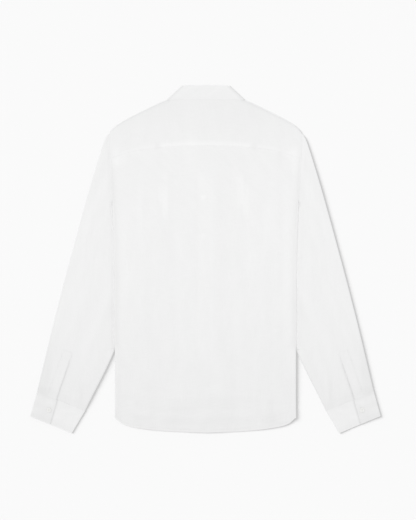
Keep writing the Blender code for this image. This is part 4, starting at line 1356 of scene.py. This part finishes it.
# What each piece was cut to, in metres and square metres, and what it lies on.
Cut = namedtuple("Cut", "held width length area rests_on")
BACK_CUT = Cut("folded", 0.522, 0.651, 0.306, ("front_left", "front_right"))
YOKE_CUT = Cut("folded", 0.430, 0.186, 0.0475, ("back_body", "front_left", "front_right"))
FRONT_CUT = Cut("folded", 0.280, 0.725, 0.172, ("front_placket",))
PLACKET_CUT = Cut("laid", 0.035, 0.651, None,
                  tuple("front_button_%d" % number for number in range(1, 7)))
FALL_CUT = Cut("folded", 0.371, 0.068, 0.0157, ())
STAND_CUT = Cut("folded", 0.438, 0.034, 0.0093, ("collar_fall",))
SLEEVE_CUT = Cut("folded", 0.531, 0.602, 0.139, ())
CUFF_CUT = Cut("folded", 0.255, 0.057, 0.0135, ())
STRIP_CUT = Cut("laid", 0.022, 0.110, None, ())


def laid(made, node, cut, *sewing):
    """Hide a CAD node, in whose place a sheet of cloth and its sewing stand."""
    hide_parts(node)


back, grid = back_body()
# The back's own columns are in the middle of its grid; the margins are on both sides.
own = len(spaced(-OUT_END, OUT_END))
first = (grid.shape[1] - own) // 2
last = first + own - 1
armhole = span(len(grid) - 1 - ARMHOLE_STITCH_ROWS, len(grid) - 1)
laid(back, "back_body", BACK_CUT,
     stitched("back_hem_stitch", grid, HEM_STITCH_ROW, span(first, last), 1),
     stitched("armhole_left_stitch", grid, armhole, first + 0.9, 1),
     stitched("armhole_right_stitch", grid, armhole, last - 0.9, 1))
top, grid = yoke()
laid(top, "yoke", YOKE_CUT, stitched("yoke_stitch", grid, 1.3, span(0, grid.shape[1] - 1), 1))
for word, side in SIDES:
    panel, grid = front_panel("front_" + word, side)
    laid(panel, "front_" + word, FRONT_CUT,
         stitched("front_%s_hem_stitch" % word, grid, HEM_STITCH_ROW, span(8, 50), -1))
band, grid = front_placket()
laid(band, "front_placket", PLACKET_CUT,
     stitched("placket_stitch_left", grid, span(0, len(grid) - 1), 1.6, -1),
     stitched("placket_stitch_right", grid, span(0, len(grid) - 1), grid.shape[1] - 2.6, -1),
     *buttonholes(grid))
fall, grid = collar_fall()
laid(fall, "collar_fall", FALL_CUT,
     stitched("collar_stitch", grid, len(grid) - 2.6, span(1, grid.shape[1] - 2), 1))
stand, grid = collar_stand()
laid(stand, "collar_stand", STAND_CUT)
for (word, side), creases in zip(SIDES, (LEFT_SLEEVE_CREASES, RIGHT_SLEEVE_CREASES)):
    made, grid = sleeve("sleeve_" + word, side, creases)
    laid(made, "sleeve_" + word, SLEEVE_CUT)
    made, grid = cuff("cuff_" + word, side)
    last = grid.shape[1] - 1
    laid(made, "cuff_" + word, CUFF_CUT,
         stitched("cuff_%s_end_stitch" % word, grid, len(grid) - 2.1, span(0, last), 1),
         stitched("cuff_%s_top_stitch" % word, grid, 1.1, span(0, last), 1),
         stitched("cuff_%s_lap_stitch" % word, grid, span(1.1, len(grid) - 2.1), last - 1.0, 1))
    made, grid = sleeve_strip("sleeve_placket_" + word, side, creases)
    last = grid.shape[1] - 1
    laid(made, "sleeve_placket_" + word, STRIP_CUT._replace(rests_on=("sleeve_" + word,)),
         stitched("strip_%s_stitch_slit" % word, grid, span(0.5, 27), 0.8, 1),
         stitched("strip_%s_stitch_seam" % word, grid, span(0.5, 27), last - 0.8, 1),
         stitched("strip_%s_stitch_top" % word, grid, 0.5, span(0.8, last - 0.8), 1))
    button("cuff_button_%s_face" % word, "cuff_button_" + word, CUFF_BUTTON, 1)
for number in range(1, 7):
    button("front_button_%d_face" % number, "front_button_%d" % number, FRONT_BUTTON, -1)
button("stand_button_face", "stand_button", FRONT_BUTTON, -1, STAND_BUTTON_THICK)

# Floor, light and camera.
floor_mesh = bpy.data.meshes.new("floor")
floor_mesh.from_pydata([(-20, -20, 0), (20, -20, 0), (20, 20, 0), (-20, 20, 0)], [],
                       [(0, 1, 2, 3)])
floor = bpy.data.objects.new("floor", floor_mesh)
bpy.context.scene.collection.objects.link(floor)
floor_finish = plain_material("opal_table", hex_colour("818181"), 0.9, 0.0)
glow = floor_finish.node_tree.nodes["Principled BSDF"]
glow.inputs["Emission Color"].default_value = (1, 1, 1, 1)
glow.inputs["Emission Strength"].default_value = GLOW
floor_mesh.materials.append(floor_finish)
floor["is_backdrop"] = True

world = bpy.data.worlds.new("studio")
bpy.context.scene.world = world
world.use_nodes = True
world.node_tree.nodes["Background"].inputs["Color"].default_value = (1, 1, 1, 1)
world.node_tree.nodes["Background"].inputs["Strength"].default_value = WORLD


def sun(name, share, elevation, heading, angle):
    """Sun that adds this share of full light on level ground; it shines along the heading."""
    data = bpy.data.lights.new(name, "SUN")
    data.energy = share * math.pi / math.sin(math.radians(elevation))
    data.angle = math.radians(angle)
    made = bpy.data.objects.new(name, data)
    bpy.context.scene.collection.objects.link(made)
    up, round_z = math.radians(elevation), math.radians(heading)
    towards = Vector((math.cos(up) * math.cos(round_z), math.cos(up) * math.sin(round_z),
                      -math.sin(up)))
    made.rotation_mode = "QUATERNION"
    made.rotation_quaternion = towards.to_track_quat("-Z", "Y")
    return made


sun("soft", SOFT, 58.0, -35.0, 30.0)
key = sun("key", KEY, 34.0, -21.0, 36.0)
# The photo's shadow falls on the surface only, so this light reaches the floor alone.
lit = bpy.data.collections.new("floor_light")
lit.objects.link(floor)
key.light_linking.receiver_collection = lit

camera_data = bpy.data.cameras.new("camera")
camera_data.lens = 99.8
camera_data.clip_end = 20.0
camera = bpy.data.objects.new("camera", camera_data)
bpy.context.scene.collection.objects.link(camera)
camera.location = (5.6 * MM, -1.1 * MM, 3.2)
bpy.context.scene.camera = camera
bpy.context.scene.view_settings.view_transform = "Standard"
